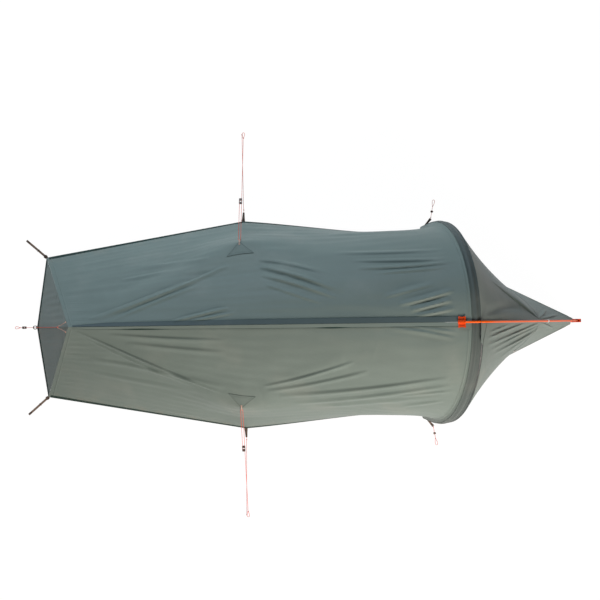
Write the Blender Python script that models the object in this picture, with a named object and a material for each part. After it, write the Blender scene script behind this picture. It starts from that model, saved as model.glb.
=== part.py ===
"""One-person single-hoop tent, pitched, as an assembly of separate pieces.

Metres. +X runs to the front tip, +Y to the left side, +Z up. The origin is on the ground, on
the groundsheet's underside, halfway along the flysheet. The flysheet hangs from one hoop and
from a strut pole that runs outside, over the hoop's crown and down to the front tip. A short
pole holds the rear apex up. The inner tent hangs inside the flysheet.
"""

import math

import bmesh
import bpy
from mathutils import Matrix, Vector

# Hoop: straight legs, then a rounded crown, leaning forward
HOOP_X = 0.632
HOOP_TOP_X = 0.730
HOOP_HALF = 0.521
HOOP_TOP_Z = 0.975
HOOP_LEG_Z = 0.22
HOOP_FOOT_Z = 0.008
CROWN_POWER = 2.05
HOOP_SECTIONS = 6
STEPS_PER_SECTION = 8

# Poles
POLE_R = 0.0045
SPIGOT_R = 0.0031
SPIGOT_LENGTH = 0.030
TIP_R = 0.0030
TIP_LENGTH = 0.012

# Strut pole
STRUT_ELBOW_R = 0.11
STRUT_REAR_TILT = math.radians(3.47)
STRUT_TIP_AHEAD = 0.03584
STRUT_LEG_TURN = math.radians(6)
STRUT_TAIL = 0.033
STRUT_FOOT_Z = 0.020
STRUT_RIDGE_SHARE = 0.90

# Flysheet corners and lines
REAR_HEM_X = -1.490
CORNER_X = -1.433
CORNER_Y = 0.381
REAR_APEX_X = -1.221
REAR_APEX_Z = 0.420
GUY_X = -0.355
GUY_RIDGE_Z = 0.620
GUY_HEM_Y = 0.565
GUY_SHOULDER_Y = 0.380
GUY_SHOULDER_Z = 0.480
HEM_Z = 0.028
WAIST_SAG = 0.043
WAIST_AT = 0.84
WAIST_RISE = 1.4
PEAK_H = 0.050
PEAK_LENGTH = 0.42
PEAK_SPREAD_SHARE = 0.24
SPINE_REAR_X = -1.0
SPINE_FRONT_X = 0.90

# Vestibule
TIP_X = 1.432
TIP_TOP_Z = 0.045
TIP_HEM_Y = 0.012
KINK_X = 1.040
KINK_Y = 0.205
KINK_Z = 0.050
KINK_SHARE = 0.55
ARCH_DECAY = 2.5

# Cloth and seams
CLOTH_T = 0.0012
SEAM = 0.0005
FIT = 0.0003
HINGE_GAP = 0.0009
DOOR_END_SHARE = 0.985
DOOR_CORNER_SHARE = 0.032
BAND_SHARE = 0.018
BAND_T = 0.0008
PATCH_REAR = 0.056
PATCH_FRONT = 0.071
PATCH_T = 0.0010
GUY_U = 0.45
GUY_V = 0.60
PATCH_DEPTH_SHARE = 0.085
PATCH_V = GUY_V - PATCH_DEPTH_SHARE

# Sleeve round the hoop, and the zip in front of it
SLEEVE_HALF = 0.021
SLEEVE_T = 0.0012
ZIP_W = 0.012
ZIP_T = 0.0016
ZIP_TOP = 0.012
SLIDER_Z = 0.075
SLIDER_SIZE = (0.010, 0.0045, 0.014)
PULL_SIZE = (0.006, 0.0012, 0.026)
PULL_PIN = 0.0005
PULL_RISE = 0.003

# Webbing pieces
HUB_LENGTH = 0.033
HUB_HALF = 0.026
HUB_T = 0.0016
HUB_WALL = 0.0022
HUB_BEHIND = 0.004
POCKET_LENGTH = 0.060
POCKET_HALF = 0.0095
POCKET_BEHIND = 0.034
POCKET_BASE_Z = 0.004
POCKET_NOSE_H = 0.007
LOOP_R = 0.0056
LOOP_BORE_R = 0.0038
LOOP_W = 0.0076
HEM_TAB_LENGTH = 0.050
FOOT_TAB_LENGTH = 0.054
FOOT_TAB_ANGLE = math.radians(50)
HEM_TAB_HALVES = (0.010, 0.005)
FOOT_TAB_HALVES = (0.0050, 0.0075)
TAB_T = 0.0018
RING_R = 0.011
RING_BORE_R = 0.0075
RING_W = 0.012
CUP_R = 0.0085
CUP_H = 0.014
CUP_BASE_Z = 0.001

# Rear corner straps in their buckles
STRAP_ANGLE = math.radians(139)
STRAP_W = 0.012
STRAP_T = 0.0016
STRAP_REACH = 0.145
STRAP_TAIL = 0.060
STRAP_DROP = 0.0036
BUCKLE_W = 0.019
BUCKLE_L = 0.016
BUCKLE_H = 0.0062
BUCKLE_WINDOW = 0.005
BUCKLE_CORNER = 0.003

# Clip on the strut pole
CLIP_LENGTH = 0.012
CLIP_WALL = 0.002
CLIP_TAB_W = 0.0035
CLIP_X = 1.195

# Inner tent
FLOOR_REAR_X = -1.350
FLOOR_BEHIND_HOOP = 0.025
FLOOR_FRONT_X = HOOP_X - FLOOR_BEHIND_HOOP
FLOOR_REAR_HALF = 0.265
FLOOR_FRONT_HALF = 0.400
TRAY_H = 0.100
FLOOR_T = 0.0012
INNER_REAR_AHEAD = 0.046
INNER_REAR_DROP = 0.070
INNER_FRONT_DROP = 0.090
INNER_REAR_X = REAR_APEX_X + INNER_REAR_AHEAD
INNER_REAR_Z = REAR_APEX_Z - INNER_REAR_DROP
INNER_FRONT_Z = HOOP_TOP_Z - INNER_FRONT_DROP
INNER_SAG_SHARE = 0.30
INNER_BULGE_ENDS = (0.4, 1.6)
INNER_BULGE = 0.045
INNER_T = 0.0010
DOOR_Z = 0.480
DOOR_BASE_HALF = 0.250
DOOR_TOP_HALF = 0.150
DOOR_GAP = 0.0009
HANGER_SHARES = (0.06, 0.50, 0.94)
HANGER_R = 0.003
FOOT_WALL_SHARE = 0.93

# Foot pole
FOOT_POLE_ANGLE = math.radians(61)
FOOT_POLE_END_Z = 0.010
FOOT_POLE_SEAT = (0.0030, 0.0049)

# Guy lines
CORD_R = 0.0011
PEG_Y = 1.058
LOCK_SHARE = 0.345
STRAND_HALF = 0.0055
REAR_PEG_X = -1.619
REAR_LOCK_AT = 0.066
BRIDLE_HALF = 0.025
KNOT_SHARE = 0.72
LOCK_BORE_R = 0.0016
LOCK_WALL = 0.0011
LOCK_H = 0.007
LOCK_CORNER = 0.0025
SIDE_LOCK_W = 2 * (STRAND_HALF + LOCK_BORE_R + LOCK_WALL)
SIDE_LOCK_L = 0.034
SIDE_WINDOW = (0.0142, 0.011)
REAR_LOCK_W = 0.0135
REAR_LOCK_L = 0.024
REAR_WINDOW = (0.006, 0.008)
FOOT_LOCK_W = 0.0140
FOOT_LOCK_L = 0.0100
EYE_HALF = 0.006
SIDE_EYE = 0.040
REAR_EYE = 0.030
FOOT_EYE = 0.036
EYE_LEAD = 0.030
FOOT_PEG_SHIFT = (0.020, 0.105)
FOOT_LOCK_AT = 0.040

# Colours: linear red, green, blue
CLOTH_DARK = (0.085, 0.125, 0.125)
CLOTH_LIGHT = (0.16, 0.19, 0.17)
BINDING = (0.02, 0.035, 0.03)
ORANGE = (0.62, 0.085, 0.012)
ORANGE_POLE = (0.70, 0.11, 0.02)
BROWN = (0.07, 0.05, 0.04)
CORD_RED = (0.62, 0.16, 0.11)
GREY_METAL = (0.45, 0.46, 0.47)
PALE = (0.70, 0.71, 0.72)
BLACK = (0.02, 0.02, 0.022)
FLOOR_GREY = (0.10, 0.11, 0.12)
INNER_PALE = (0.55, 0.57, 0.56)

LEFT, RIGHT = 1, -1
SIDE_NAME = {LEFT: "left", RIGHT: "right"}

# Main tension folds, in plan: from (x, y), to (x, y), height, half-width
FLY_FOLDS = (
    ((-1.15, 0.03), (-0.46, 0.335), 0.010, 0.050),
    ((-0.26, 0.315), (0.16, 0.170), 0.008, 0.048),
    ((-0.24, 0.380), (0.52, 0.310), 0.007, 0.050),
    ((-1.05, 0.16), (-0.52, 0.400), -0.006, 0.045),
    ((0.25, 0.430), (0.66, 0.430), 0.006, 0.040),
    ((0.30, 0.120), (0.62, 0.230), -0.006, 0.045),
)
VESTIBULE_FOLDS = (
    ((1.18, 0.010), (1.00, 0.170), 0.006, 0.028),
    ((1.16, 0.006), (0.86, 0.230), 0.006, 0.030),
    ((1.14, 0.004), (0.82, 0.120), -0.005, 0.028),
)


def clear_scene():
    """Remove every object, so that only the tent is left."""
    for obj in list(bpy.data.objects):
        bpy.data.objects.remove(obj, do_unlink=True)


def material(name, colour, roughness, metallic=0.0):
    """A Principled material, made once for each name."""
    found = bpy.data.materials.get(name)
    if found:
        return found
    made = bpy.data.materials.new(name)
    made.use_nodes = True
    shader = made.node_tree.nodes["Principled BSDF"]
    shader.inputs["Base Color"].default_value = (*colour, 1.0)
    shader.inputs["Roughness"].default_value = roughness
    shader.inputs["Metallic"].default_value = metallic
    made.diffuse_color = (*colour, 1.0)
    return made


def link(name, mesh, finish):
    """Put a mesh or a curve into the scene as one named object."""
    obj = bpy.data.objects.new(name, mesh)
    mesh.materials.append(finish)
    bpy.context.collection.objects.link(obj)
    return obj


def solid(name, points, faces, finish, smooth=False):
    """One closed mesh object, its faces turned outwards."""
    mesh = bpy.data.meshes.new(name)
    mesh.from_pydata([tuple(p) for p in points], [], faces)
    work = bmesh.new()
    work.from_mesh(mesh)
    bmesh.ops.recalc_face_normals(work, faces=work.faces)
    if work.calc_volume(signed=True) < 0:
        bmesh.ops.reverse_faces(work, faces=work.faces)
    work.to_mesh(mesh)
    work.free()
    obj = link(name, mesh, finish)
    if smooth:
        mesh.shade_smooth()
        mesh.set_sharp_from_angle(angle=math.radians(40))
    return obj


def origin_at(obj, place):
    """Move an object's origin, and leave its shape where it is."""
    obj.data.transform(Matrix.Translation(-Vector(place)))
    obj.location = place
    return obj


def mix(a, b, t):
    """The value between a and b at share t."""
    return a + (b - a) * t


def span(start, end, count):
    """Evenly spaced values from start to end, both included."""
    return [mix(start, end, k / count) for k in range(count + 1)]


def side_point(p, side):
    """A point given for the left side, on the named side."""
    return Vector((p[0], p[1] * side, p[2]))


def outward(p):
    """The direction in which cloth is thick: away from a low line along the tent."""
    spine = Vector((min(max(p.x, SPINE_REAR_X), SPINE_FRONT_X), 0.0, 0.0))
    return (p - spine).normalized()


def fold_height(p, side, folds):
    """How far the main tension folds lift the cloth at a point, by its place in plan."""
    place = Vector((p.x, p.y * side))
    lift = 0.0
    for start, end, height, half in folds:
        a, b = Vector(start), Vector(end)
        along = (place - a).dot(b - a) / (b - a).length_squared
        if 0.0 < along < 1.0:
            off = (place - a - (b - a) * along).length / half
            lift += height * math.exp(-off * off) * math.sin(math.pi * along) ** 0.7
    return lift


def sheet(name, rows, finish, thick, lift=0.0, turned_cell=None):
    """A closed thin shell over a grid of points, thick along the outward field.

    rows[i][j] are middle points. Each cell is split along one diagonal, or along the other one
    where turned_cell(i, j) holds, so that a piece on top can follow the same triangles.
    """
    across = len(rows[0])
    flat = [p for row in rows for p in row]
    low = [p + outward(p) * (lift - thick / 2) for p in flat]
    high = [p + outward(p) * (lift + thick / 2) for p in flat]
    above = len(flat)
    faces = []
    for i in range(len(rows) - 1):
        for j in range(across - 1):
            a, b = i * across + j, (i + 1) * across + j
            c, d = b + 1, a + 1
            if turned_cell and turned_cell(i, j):
                pair = ((a, b, d), (b, c, d))
            else:
                pair = ((a, b, c), (a, c, d))
            for tri in pair:
                faces.append(tri)
                faces.append(tuple(k + above for k in reversed(tri)))
    rim = [j for j in range(across)]
    rim += [i * across + across - 1 for i in range(1, len(rows))]
    rim += [(len(rows) - 1) * across + j for j in range(across - 2, -1, -1)]
    rim += [i * across for i in range(len(rows) - 2, 0, -1)]
    for k, first in enumerate(rim):
        second = rim[(k + 1) % len(rim)]
        faces.append((first, second, second + above, first + above))
    return solid(name, low + high, faces, finish)


def turned(name, rings, sides, finish):
    """A body of rings along a path: each ring is (centre, two axes, radius)."""
    points, faces = [], []
    for centre, first, second, radius in rings:
        for k in range(sides):
            angle = 2 * math.pi * k / sides
            points.append(centre + (first * math.cos(angle) + second * math.sin(angle)) * radius)
    for r in range(len(rings) - 1):
        for k in range(sides):
            a, b = r * sides + k, r * sides + (k + 1) % sides
            faces.append((a, b, b + sides, a + sides))
    faces.append(tuple(range(sides)))
    faces.append(tuple(range((len(rings) - 1) * sides, len(rings) * sides)))
    return solid(name, points, faces, finish, smooth=True)


def extruded(name, outline, start, depth, first, second, finish):
    """A flat outline, given along two axes from start, made into a prism of a depth vector."""
    near = [start + first * a + second * b for a, b in outline]
    far = [p + depth for p in near]
    count = len(outline)
    faces = [tuple(range(count)), tuple(range(count, 2 * count))]
    faces += [(k, (k + 1) % count, (k + 1) % count + count, k + count) for k in range(count)]
    return solid(name, near + far, faces, finish)


def block(name, centre, size, frame, finish):
    """A box of a size, centred, along the three axes of frame."""
    points = []
    for sx in (-0.5, 0.5):
        for sy in (-0.5, 0.5):
            for sz in (-0.5, 0.5):
                shift = frame[0] * (sx * size[0]) + frame[1] * (sy * size[1]) + frame[2] * (sz * size[2])
                points.append(centre + shift)
    faces = [(0, 1, 3, 2), (4, 6, 7, 5), (0, 4, 5, 1), (2, 3, 7, 6), (0, 2, 6, 4), (1, 5, 7, 3)]
    return solid(name, points, faces, finish)


def plate(name, centre, size, corner, frame, finish):
    """A flat body with its corners cut off; frame holds the axes across, along and up."""
    across, along, up = frame
    w, l = size[0] / 2, size[1] / 2
    quarter = [(w - corner, l), (w, l - corner)]
    outline = quarter + [(x, -y) for x, y in reversed(quarter)]
    outline += [(-x, y) for x, y in reversed(outline)]
    return extruded(name, outline, centre - up * (size[2] / 2), up * size[2], across, along, finish)


def cut(obj, cutter):
    """Subtract a hidden cutter from an object."""
    cutter.hide_render = True
    cutter.display_type = "WIRE"
    made = obj.modifiers.new("cut_" + cutter.name, "BOOLEAN")
    made.operation = "DIFFERENCE"
    made.object = cutter


def across_axes(along):
    """Two unit axes square to a direction."""
    helper = Vector((0, 1, 0)) if abs(along.y) < 0.9 else Vector((0, 0, 1))
    first = along.cross(helper).normalized()
    return first, along.cross(first).normalized()


def rod(name, start, end, radius, sides, finish):
    """A straight round rod."""
    first, second = across_axes((end - start).normalized())
    return turned(name, [(start, first, second, radius), (end, first, second, radius)], sides, finish)


def smooth_route(points, per_span):
    """Points along a smooth curve through a route's own points."""
    ends = [points[0] * 2 - points[1]] + list(points) + [points[-1] * 2 - points[-2]]
    route = []
    for k in range(1, len(ends) - 2):
        p0, p1, p2, p3 = ends[k - 1:k + 3]
        t1 = math.sqrt((p1 - p0).length)
        t2 = t1 + math.sqrt((p2 - p1).length)
        t3 = t2 + math.sqrt((p3 - p2).length)
        for step in range(per_span):
            t = mix(t1, t2, step / per_span)
            a1 = p0 * ((t1 - t) / t1) + p1 * (t / t1)
            a2 = p1 * ((t2 - t) / (t2 - t1)) + p2 * ((t - t1) / (t2 - t1))
            a3 = p2 * ((t3 - t) / (t3 - t2)) + p3 * ((t - t2) / (t3 - t2))
            b1 = a1 * ((t2 - t) / t2) + a2 * (t / t2)
            b2 = a2 * ((t3 - t) / (t3 - t1)) + a3 * ((t - t1) / (t3 - t1))
            route.append(b1 * ((t2 - t) / (t2 - t1)) + b2 * ((t - t1) / (t2 - t1)))
    route.append(points[-1].copy())
    return route


def cord(name, points, finish, per_span=2):
    """A round cord along a smooth route."""
    route = smooth_route([Vector(p) for p in points], per_span)
    curve = bpy.data.curves.new(name, "CURVE")
    curve.dimensions = "3D"
    curve.bevel_depth = CORD_R
    curve.bevel_resolution = 2
    curve.use_fill_caps = True
    line = curve.splines.new("POLY")
    line.points.add(len(route) - 1)
    for knot, place in zip(line.points, route):
        knot.co = (*place, 1.0)
    return link(name, curve, finish)


def hoop_x(z):
    """The hoop's place along the tent at a height, as it leans forward."""
    return mix(HOOP_X, HOOP_TOP_X, (z - HOOP_FOOT_Z) / (HOOP_TOP_Z - HOOP_FOOT_Z))


def hoop_outline():
    """Half of the hoop's centreline, from its crown to its left foot, finely stepped."""
    half = []
    steps = 240
    for k in range(steps + 1):
        angle = math.pi / 2 * k / steps
        y = HOOP_HALF * math.sin(angle) ** (2 / CROWN_POWER)
        z = HOOP_LEG_Z + (HOOP_TOP_Z - HOOP_LEG_Z) * max(math.cos(angle), 0.0) ** (2 / CROWN_POWER)
        half.append((y, z))
    half.append((HOOP_HALF, HOOP_FOOT_Z))
    return [Vector((hoop_x(z), y, z)) for y, z in half]


HOOP_LINE = hoop_outline()
HOOP_LENGTHS = [0.0]
for before, after in zip(HOOP_LINE, HOOP_LINE[1:]):
    HOOP_LENGTHS.append(HOOP_LENGTHS[-1] + (after - before).length)
HOOP_HALF_LENGTH = HOOP_LENGTHS[-1]
HOOP_NORMAL = Vector((HOOP_TOP_Z - HOOP_FOOT_Z, 0.0, HOOP_X - HOOP_TOP_X)).normalized()


def hoop_point(distance):
    """The hoop's centreline at a distance from its crown: positive on the left."""
    side = 1 if distance >= 0 else -1
    left = min(abs(distance), HOOP_HALF_LENGTH)
    k = 1
    while k < len(HOOP_LENGTHS) - 1 and HOOP_LENGTHS[k] < left:
        k += 1
    share = (left - HOOP_LENGTHS[k - 1]) / (HOOP_LENGTHS[k] - HOOP_LENGTHS[k - 1])
    return side_point(HOOP_LINE[k - 1].lerp(HOOP_LINE[k], share), side)


def hoop_distance_at(z):
    """How far along the leg, from the crown, the hoop is at a low height."""
    slant = math.hypot(1.0, (HOOP_TOP_X - HOOP_X) / (HOOP_TOP_Z - HOOP_FOOT_Z))
    return HOOP_HALF_LENGTH - (z - HOOP_FOOT_Z) * slant


HOOP_STEPS = HOOP_SECTIONS * STEPS_PER_SECTION
HOOP_STATIONS = [mix(-HOOP_HALF_LENGTH, HOOP_HALF_LENGTH, k / HOOP_STEPS) for k in range(HOOP_STEPS + 1)]
HEM_DISTANCE = hoop_distance_at(HEM_Z)
ARCH_OFFSET = SLEEVE_HALF + SEAM


def stations_between(start, end):
    """The hoop's stations between two distances from its crown, with both ends."""
    return [start] + [s for s in HOOP_STATIONS if start < s < end] + [end]


def hoop_outward(distance):
    """The direction away from the hoop's inside, in its own plane, at a distance from its crown."""
    reach = 2 * HOOP_HALF_LENGTH / HOOP_STEPS
    before = hoop_point(max(distance - reach, -HOOP_HALF_LENGTH))
    here = hoop_point(distance)
    after = hoop_point(min(distance + reach, HOOP_HALF_LENGTH))
    along = ((here - before).normalized() + (after - here).normalized()).normalized()
    away = HOOP_NORMAL.cross(along).normalized()
    if away.dot(here - Vector((HOOP_X, 0, HOOP_LEG_Z))) < 0:
        away = -away
    return away


def seam_point(v):
    """The seam between a main panel and the rear panel, from the rear apex to the corner."""
    top = Vector((REAR_APEX_X, 0.0, REAR_APEX_Z))
    return top.lerp(Vector((CORNER_X, CORNER_Y, HEM_Z)), v)


def guy_section(v):
    """The flysheet's section at the side guys, from the ridge to the hem."""
    y = 2 * v * (1 - v) * GUY_SHOULDER_Y + v * v * GUY_HEM_Y
    z = (1 - v) ** 2 * GUY_RIDGE_Z + 2 * v * (1 - v) * GUY_SHOULDER_Z + v * v * HEM_Z
    return Vector((GUY_X, y, z))


def arch_edge(v):
    """The flysheet's edge along the rear of the sleeve."""
    return hoop_point(v * HEM_DISTANCE) - HOOP_NORMAL * ARCH_OFFSET


def waist_share(t):
    """How much of the waist's sag the hem has between the guys and the sleeve, at most 1."""
    fall = WAIST_RISE * (1 - WAIST_AT) / WAIST_AT
    return (t / WAIST_AT) ** WAIST_RISE * ((1 - t) / (1 - WAIST_AT)) ** fall


def fly_point(u, v):
    """The left main panel: u from the rear seam to the sleeve, v from the ridge to the hem."""
    rear, middle, front = seam_point(v), guy_section(v), arch_edge(v)
    rear_length = middle.x - rear.x
    front_length = front.x - middle.x
    slope = (front.z - rear.z) / (rear_length + front_length)
    if u <= GUY_U:
        t = u / GUY_U
        point = rear.lerp(middle, t)
        start_slope = 2 * (middle.z - rear.z) - slope * rear_length
        ends = (rear.z, start_slope, middle.z, slope * rear_length)
    else:
        t = (u - GUY_U) / (1 - GUY_U)
        point = middle.lerp(front, t)
        end_slope = 2 * (front.z - middle.z) - slope * front_length
        ends = (middle.z, slope * front_length, front.z, end_slope)
        point.y -= WAIST_SAG * waist_share(t) * v
    point.z = hermite(ends, t)
    away = outward(point)
    reach = math.hypot((point.x - GUY_X) / PEAK_LENGTH, (v - GUY_V) / PEAK_SPREAD_SHARE)
    lift = PEAK_H * max(0.0, 1 - reach) ** 1.5
    lift += fold_height(point, LEFT, FLY_FOLDS) * min(1.0, 8 * u, 8 * (1 - u))
    return point + away * lift


def hermite(ends, t):
    """A cubic through two values with a slope at each: (value, slope, value, slope)."""
    a, slope_a, b, slope_b = ends
    t2, t3 = t * t, t * t * t
    return a * (2 * t3 - 3 * t2 + 1) + slope_a * (t3 - 2 * t2 + t) + b * (3 * t2 - 2 * t3) + slope_b * (t3 - t2)


REAR_SPAN = GUY_X - REAR_APEX_X
FRONT_SPAN = HOOP_X - GUY_X
PATCH_REAR_U = GUY_U - PATCH_REAR / REAR_SPAN * GUY_U
PATCH_FRONT_U = GUY_U + PATCH_FRONT / FRONT_SPAN * (1 - GUY_U)
FLY_US = span(0.0, PATCH_REAR_U, 11) + [GUY_U] + span(PATCH_FRONT_U, 1.0, 14)
FLY_VS = [0.0] + span(BAND_SHARE, PATCH_V, 6) + span(GUY_V, 1.0, 6)
GUY_ROW = FLY_US.index(GUY_U)


def seam_trimmed(row, side):
    """A row of a side panel, kept a seam's half clear of the ridge's middle plane."""
    return [side_point((p.x, max(p.y, SEAM / 2), p.z), side) for p in row]


def build_fly_panels():
    """The two main panels of the flysheet."""
    for side, tone in ((LEFT, CLOTH_DARK), (RIGHT, CLOTH_LIGHT)):
        finish = material("fly_cloth_" + SIDE_NAME[side], tone, 0.55)
        rows = [seam_trimmed([fly_point(u, v) for v in FLY_VS], side) for u in FLY_US]
        sheet("fly_panel_" + SIDE_NAME[side], rows, finish, CLOTH_T, turned_cell=lambda i, j: i >= GUY_ROW)


def build_rear_panel():
    """The rear panel, from the rear apex down to the pulled-out rear hem."""
    rows = []
    for v in span(0.06, 1.0, 8):
        middle = Vector((mix(REAR_APEX_X, REAR_HEM_X, v), 0.0, mix(REAR_APEX_Z, HEM_Z, v)))
        corner = seam_point(v)
        reach = 1 - SEAM * 2.2 / (corner - middle).length
        half = [middle.lerp(corner, w) for w in span(0.0, reach, 5)]
        rows.append([side_point(p, RIGHT) for p in reversed(half[1:])] + half)
    sheet("fly_rear_panel", rows, material("fly_cloth_rear", CLOTH_DARK, 0.55), CLOTH_T)


def build_ridge_band():
    """The reinforcing band along the ridge, over both main panels."""
    rows = []
    for u in FLY_US[1:-1]:
        edge = fly_point(u, BAND_SHARE)
        rows.append([side_point(edge, RIGHT), fly_point(u, 0.0), edge])
    lift = (CLOTH_T + BAND_T) / 2 + FIT
    finish = material("ridge_cloth", BINDING, 0.5)
    sheet("ridge_band", rows, finish, BAND_T, lift, lambda i, j: (i + 1 >= GUY_ROW) != (j == 0))


def build_side_patches():
    """Triangular reinforcements at the side guy points."""
    finish = material("patch_cloth", (0.075, 0.11, 0.11), 0.5)
    lift = (CLOTH_T + PATCH_T) / 2 + FIT
    for side in (LEFT, RIGHT):
        corners = [fly_point(GUY_U, GUY_V), fly_point(PATCH_REAR_U, PATCH_V),
                   fly_point(GUY_U, PATCH_V), fly_point(PATCH_FRONT_U, PATCH_V)]
        low = [side_point(p + outward(p) * (lift - PATCH_T / 2), side) for p in corners]
        high = [side_point(p + outward(p) * (lift + PATCH_T / 2), side) for p in corners]
        faces = [(0, 1, 2), (0, 2, 3), (4, 6, 5), (4, 7, 6)]
        faces += [(0, 1, 5, 4), (1, 2, 6, 5), (2, 3, 7, 6), (3, 0, 4, 7)]
        solid("side_patch_" + SIDE_NAME[side], low + high, faces, finish)


def build_hoop_sleeve():
    """The flat tunnel that the hoop runs in, open at both feet."""
    stations = stations_between(-HEM_DISTANCE, HEM_DISTANCE)
    high = POLE_R + FIT + SLEEVE_T
    count = 8
    points, faces = [], []
    for distance in stations:
        centre, away = hoop_point(distance), hoop_outward(distance)
        for half, rise in ((SLEEVE_HALF, high), (SLEEVE_HALF - SLEEVE_T * 1.6, high - SLEEVE_T)):
            for n in range(count):
                angle = 2 * math.pi * n / count
                points.append(centre + HOOP_NORMAL * (half * math.cos(angle)) + away * (rise * math.sin(angle)))
    ring = 2 * count
    for r in range(len(stations) - 1):
        for n in range(count):
            m = (n + 1) % count
            base, above = r * ring, (r + 1) * ring
            faces.append((base + n, base + m, above + m, above + n))
            faces.append((base + count + n, above + count + n, above + count + m, base + count + m))
    for base in (0, (len(stations) - 1) * ring):
        for n in range(count):
            m = (n + 1) % count
            faces.append((base + n, base + m, base + count + m, base + count + n))
    solid("hoop_sleeve", points, faces, material("sleeve_cloth", (0.05, 0.075, 0.078), 0.6), smooth=True)


def section_rings(path, before, socket):
    """Rings for one pole section.

    path is a list of (centre, axis, axis). before is the last step of the section behind, whose
    socket takes this one's spigot, or None.
    """
    start, first, second = path[0]
    along = (path[1][0] - start).normalized()
    start = start + along * (FIT / 2)
    rings = []
    if before is not None:
        back = (start - before).normalized()
        square = aligned(first, back)
        rings.append((start - back * SPIGOT_LENGTH, *square, SPIGOT_R))
        rings.append((start, first, second, SPIGOT_R))
    rings.append((start, first, second, POLE_R))
    rings += [(centre, *axes, POLE_R) for centre, *axes in path[1:-1]]
    end, first, second = path[-1]
    along = (end - path[-2][0]).normalized()
    end = end - along * (FIT / 2)
    rings.append((end, first, second, POLE_R))
    if socket:
        bore = SPIGOT_R + FIT
        rings.append((end, first, second, bore))
        rings.append((end - along * (SPIGOT_LENGTH + FIT * 3), *aligned(first, along), bore))
    return rings


def aligned(guide, along):
    """Axes square to a direction, the first one as near to a guide as it can be."""
    first = (guide - along * guide.dot(along)).normalized()
    return first, first.cross(along).normalized()


def build_hoop_poles():
    """Six sections of the hoop pole, each with a spigot into the next one's socket."""
    finish = material("pole_metal", GREY_METAL, 0.3, 1.0)
    for n in range(HOOP_SECTIONS):
        path = []
        for k in range(n * STEPS_PER_SECTION, (n + 1) * STEPS_PER_SECTION + 1):
            path.append((hoop_point(HOOP_STATIONS[k]), HOOP_NORMAL, hoop_outward(HOOP_STATIONS[k])))
        behind = hoop_point(HOOP_STATIONS[n * STEPS_PER_SECTION - 1]) if n > 0 else None
        rings = section_rings(path, behind, n < HOOP_SECTIONS - 1)
        turned(f"hoop_pole_{n + 1}", rings, 10, finish)


def strut_path(leg_angle):
    """The strut pole's centreline, from its rear end to its tip, with its leg at a given slope."""
    sleeve_rise = math.hypot((POLE_R + FIT + SLEEVE_T) * HOOP_NORMAL.x, SLEEVE_HALF * HOOP_NORMAL.z)
    top = Vector((hoop_x(HOOP_TOP_Z), 0.0, HOOP_TOP_Z + sleeve_rise + FIT * 2 + POLE_R))
    ridge = fly_point(1.0, 0.0) - fly_point(STRUT_RIDGE_SHARE, 0.0)
    rear_angle = math.atan2(ridge.z, ridge.x) + STRUT_REAR_TILT
    elbow = []
    for angle in span(rear_angle, -leg_angle, 12):
        elbow.append(top + Vector((-math.sin(angle), 0, math.cos(angle) - 1)) * STRUT_ELBOW_R)
    tail = elbow[0] - Vector((math.cos(rear_angle), 0, math.sin(rear_angle))) * STRUT_TAIL
    knee = elbow[-1]
    mean = leg_angle + STRUT_LEG_TURN / 2
    length = (knee.z - STRUT_FOOT_Z) / math.sin(mean)
    steps = 10
    leg = []
    for k in range(1, steps + 1):
        angle = leg_angle + STRUT_LEG_TURN * (k - 0.5) / steps
        last = leg[-1] if leg else knee
        leg.append(last + Vector((math.cos(angle), 0, -math.sin(angle))) * (length / steps))
    return [tail] + elbow + leg


def strut_line():
    """The strut's centreline, with the slope of its leg that brings its tip ahead of the canopy's."""
    low, high = math.radians(5), math.radians(85)
    for _ in range(50):
        middle = (low + high) / 2
        if strut_path(middle)[-1].x > TIP_X + STRUT_TIP_AHEAD:
            low = middle
        else:
            high = middle
    return strut_path(middle)


STRUT_LINE = strut_line()
STRUT_BREAKS = (0, 15, 19, len(STRUT_LINE) - 1)
STRUT_TIP = STRUT_LINE[-1]
STRUT_END_DIRECTION = (STRUT_LINE[-1] - STRUT_LINE[-2]).normalized()
STRUT_REAR_DIRECTION = (STRUT_LINE[1] - STRUT_LINE[0]).normalized()


def strut_axes(k):
    """Axes square to the strut at one of its steps."""
    before = STRUT_LINE[max(k - 1, 0)]
    after = STRUT_LINE[min(k + 1, len(STRUT_LINE) - 1)]
    along = (after - before).normalized()
    return Vector((0, 1, 0)), Vector((0, 1, 0)).cross(along).normalized()


def build_strut():
    """Three sections of the strut pole: the bent one over the hoop, then two straight ones."""
    finish = material("strut_metal", ORANGE_POLE, 0.35, 0.4)
    for n in range(3):
        first, last = STRUT_BREAKS[n], STRUT_BREAKS[n + 1]
        path = [(STRUT_LINE[k], *strut_axes(k)) for k in range(first, last + 1)]
        rings = section_rings(path, STRUT_LINE[first - 1] if n > 0 else None, n < 2)
        if n == 2:
            axes = rings[-1][1:3]
            end = rings[-1][0]
            rings.append((end, *axes, TIP_R))
            rings.append((end + STRUT_END_DIRECTION * TIP_LENGTH, *axes, TIP_R))
        turned(f"strut_pole_{n + 1}", rings, 10, finish)


def hub_frame():
    """The hub's middle on the strut's line, and its axes."""
    middle = STRUT_LINE[0] + STRUT_REAR_DIRECTION * (HUB_LENGTH / 2 - HUB_BEHIND)
    up = STRUT_REAR_DIRECTION.cross(Vector((0, 1, 0))).normalized()
    return middle, -up if up.z < 0 else up


def fly_at(x, v):
    """The flysheet's point on a line v at a place along the tent."""
    low, high = 0.0, 1.0
    for _ in range(40):
        middle = (low + high) / 2
        if fly_point(middle, v).x < x:
            low = middle
        else:
            high = middle
    return fly_point((low + high) / 2, v)


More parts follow.
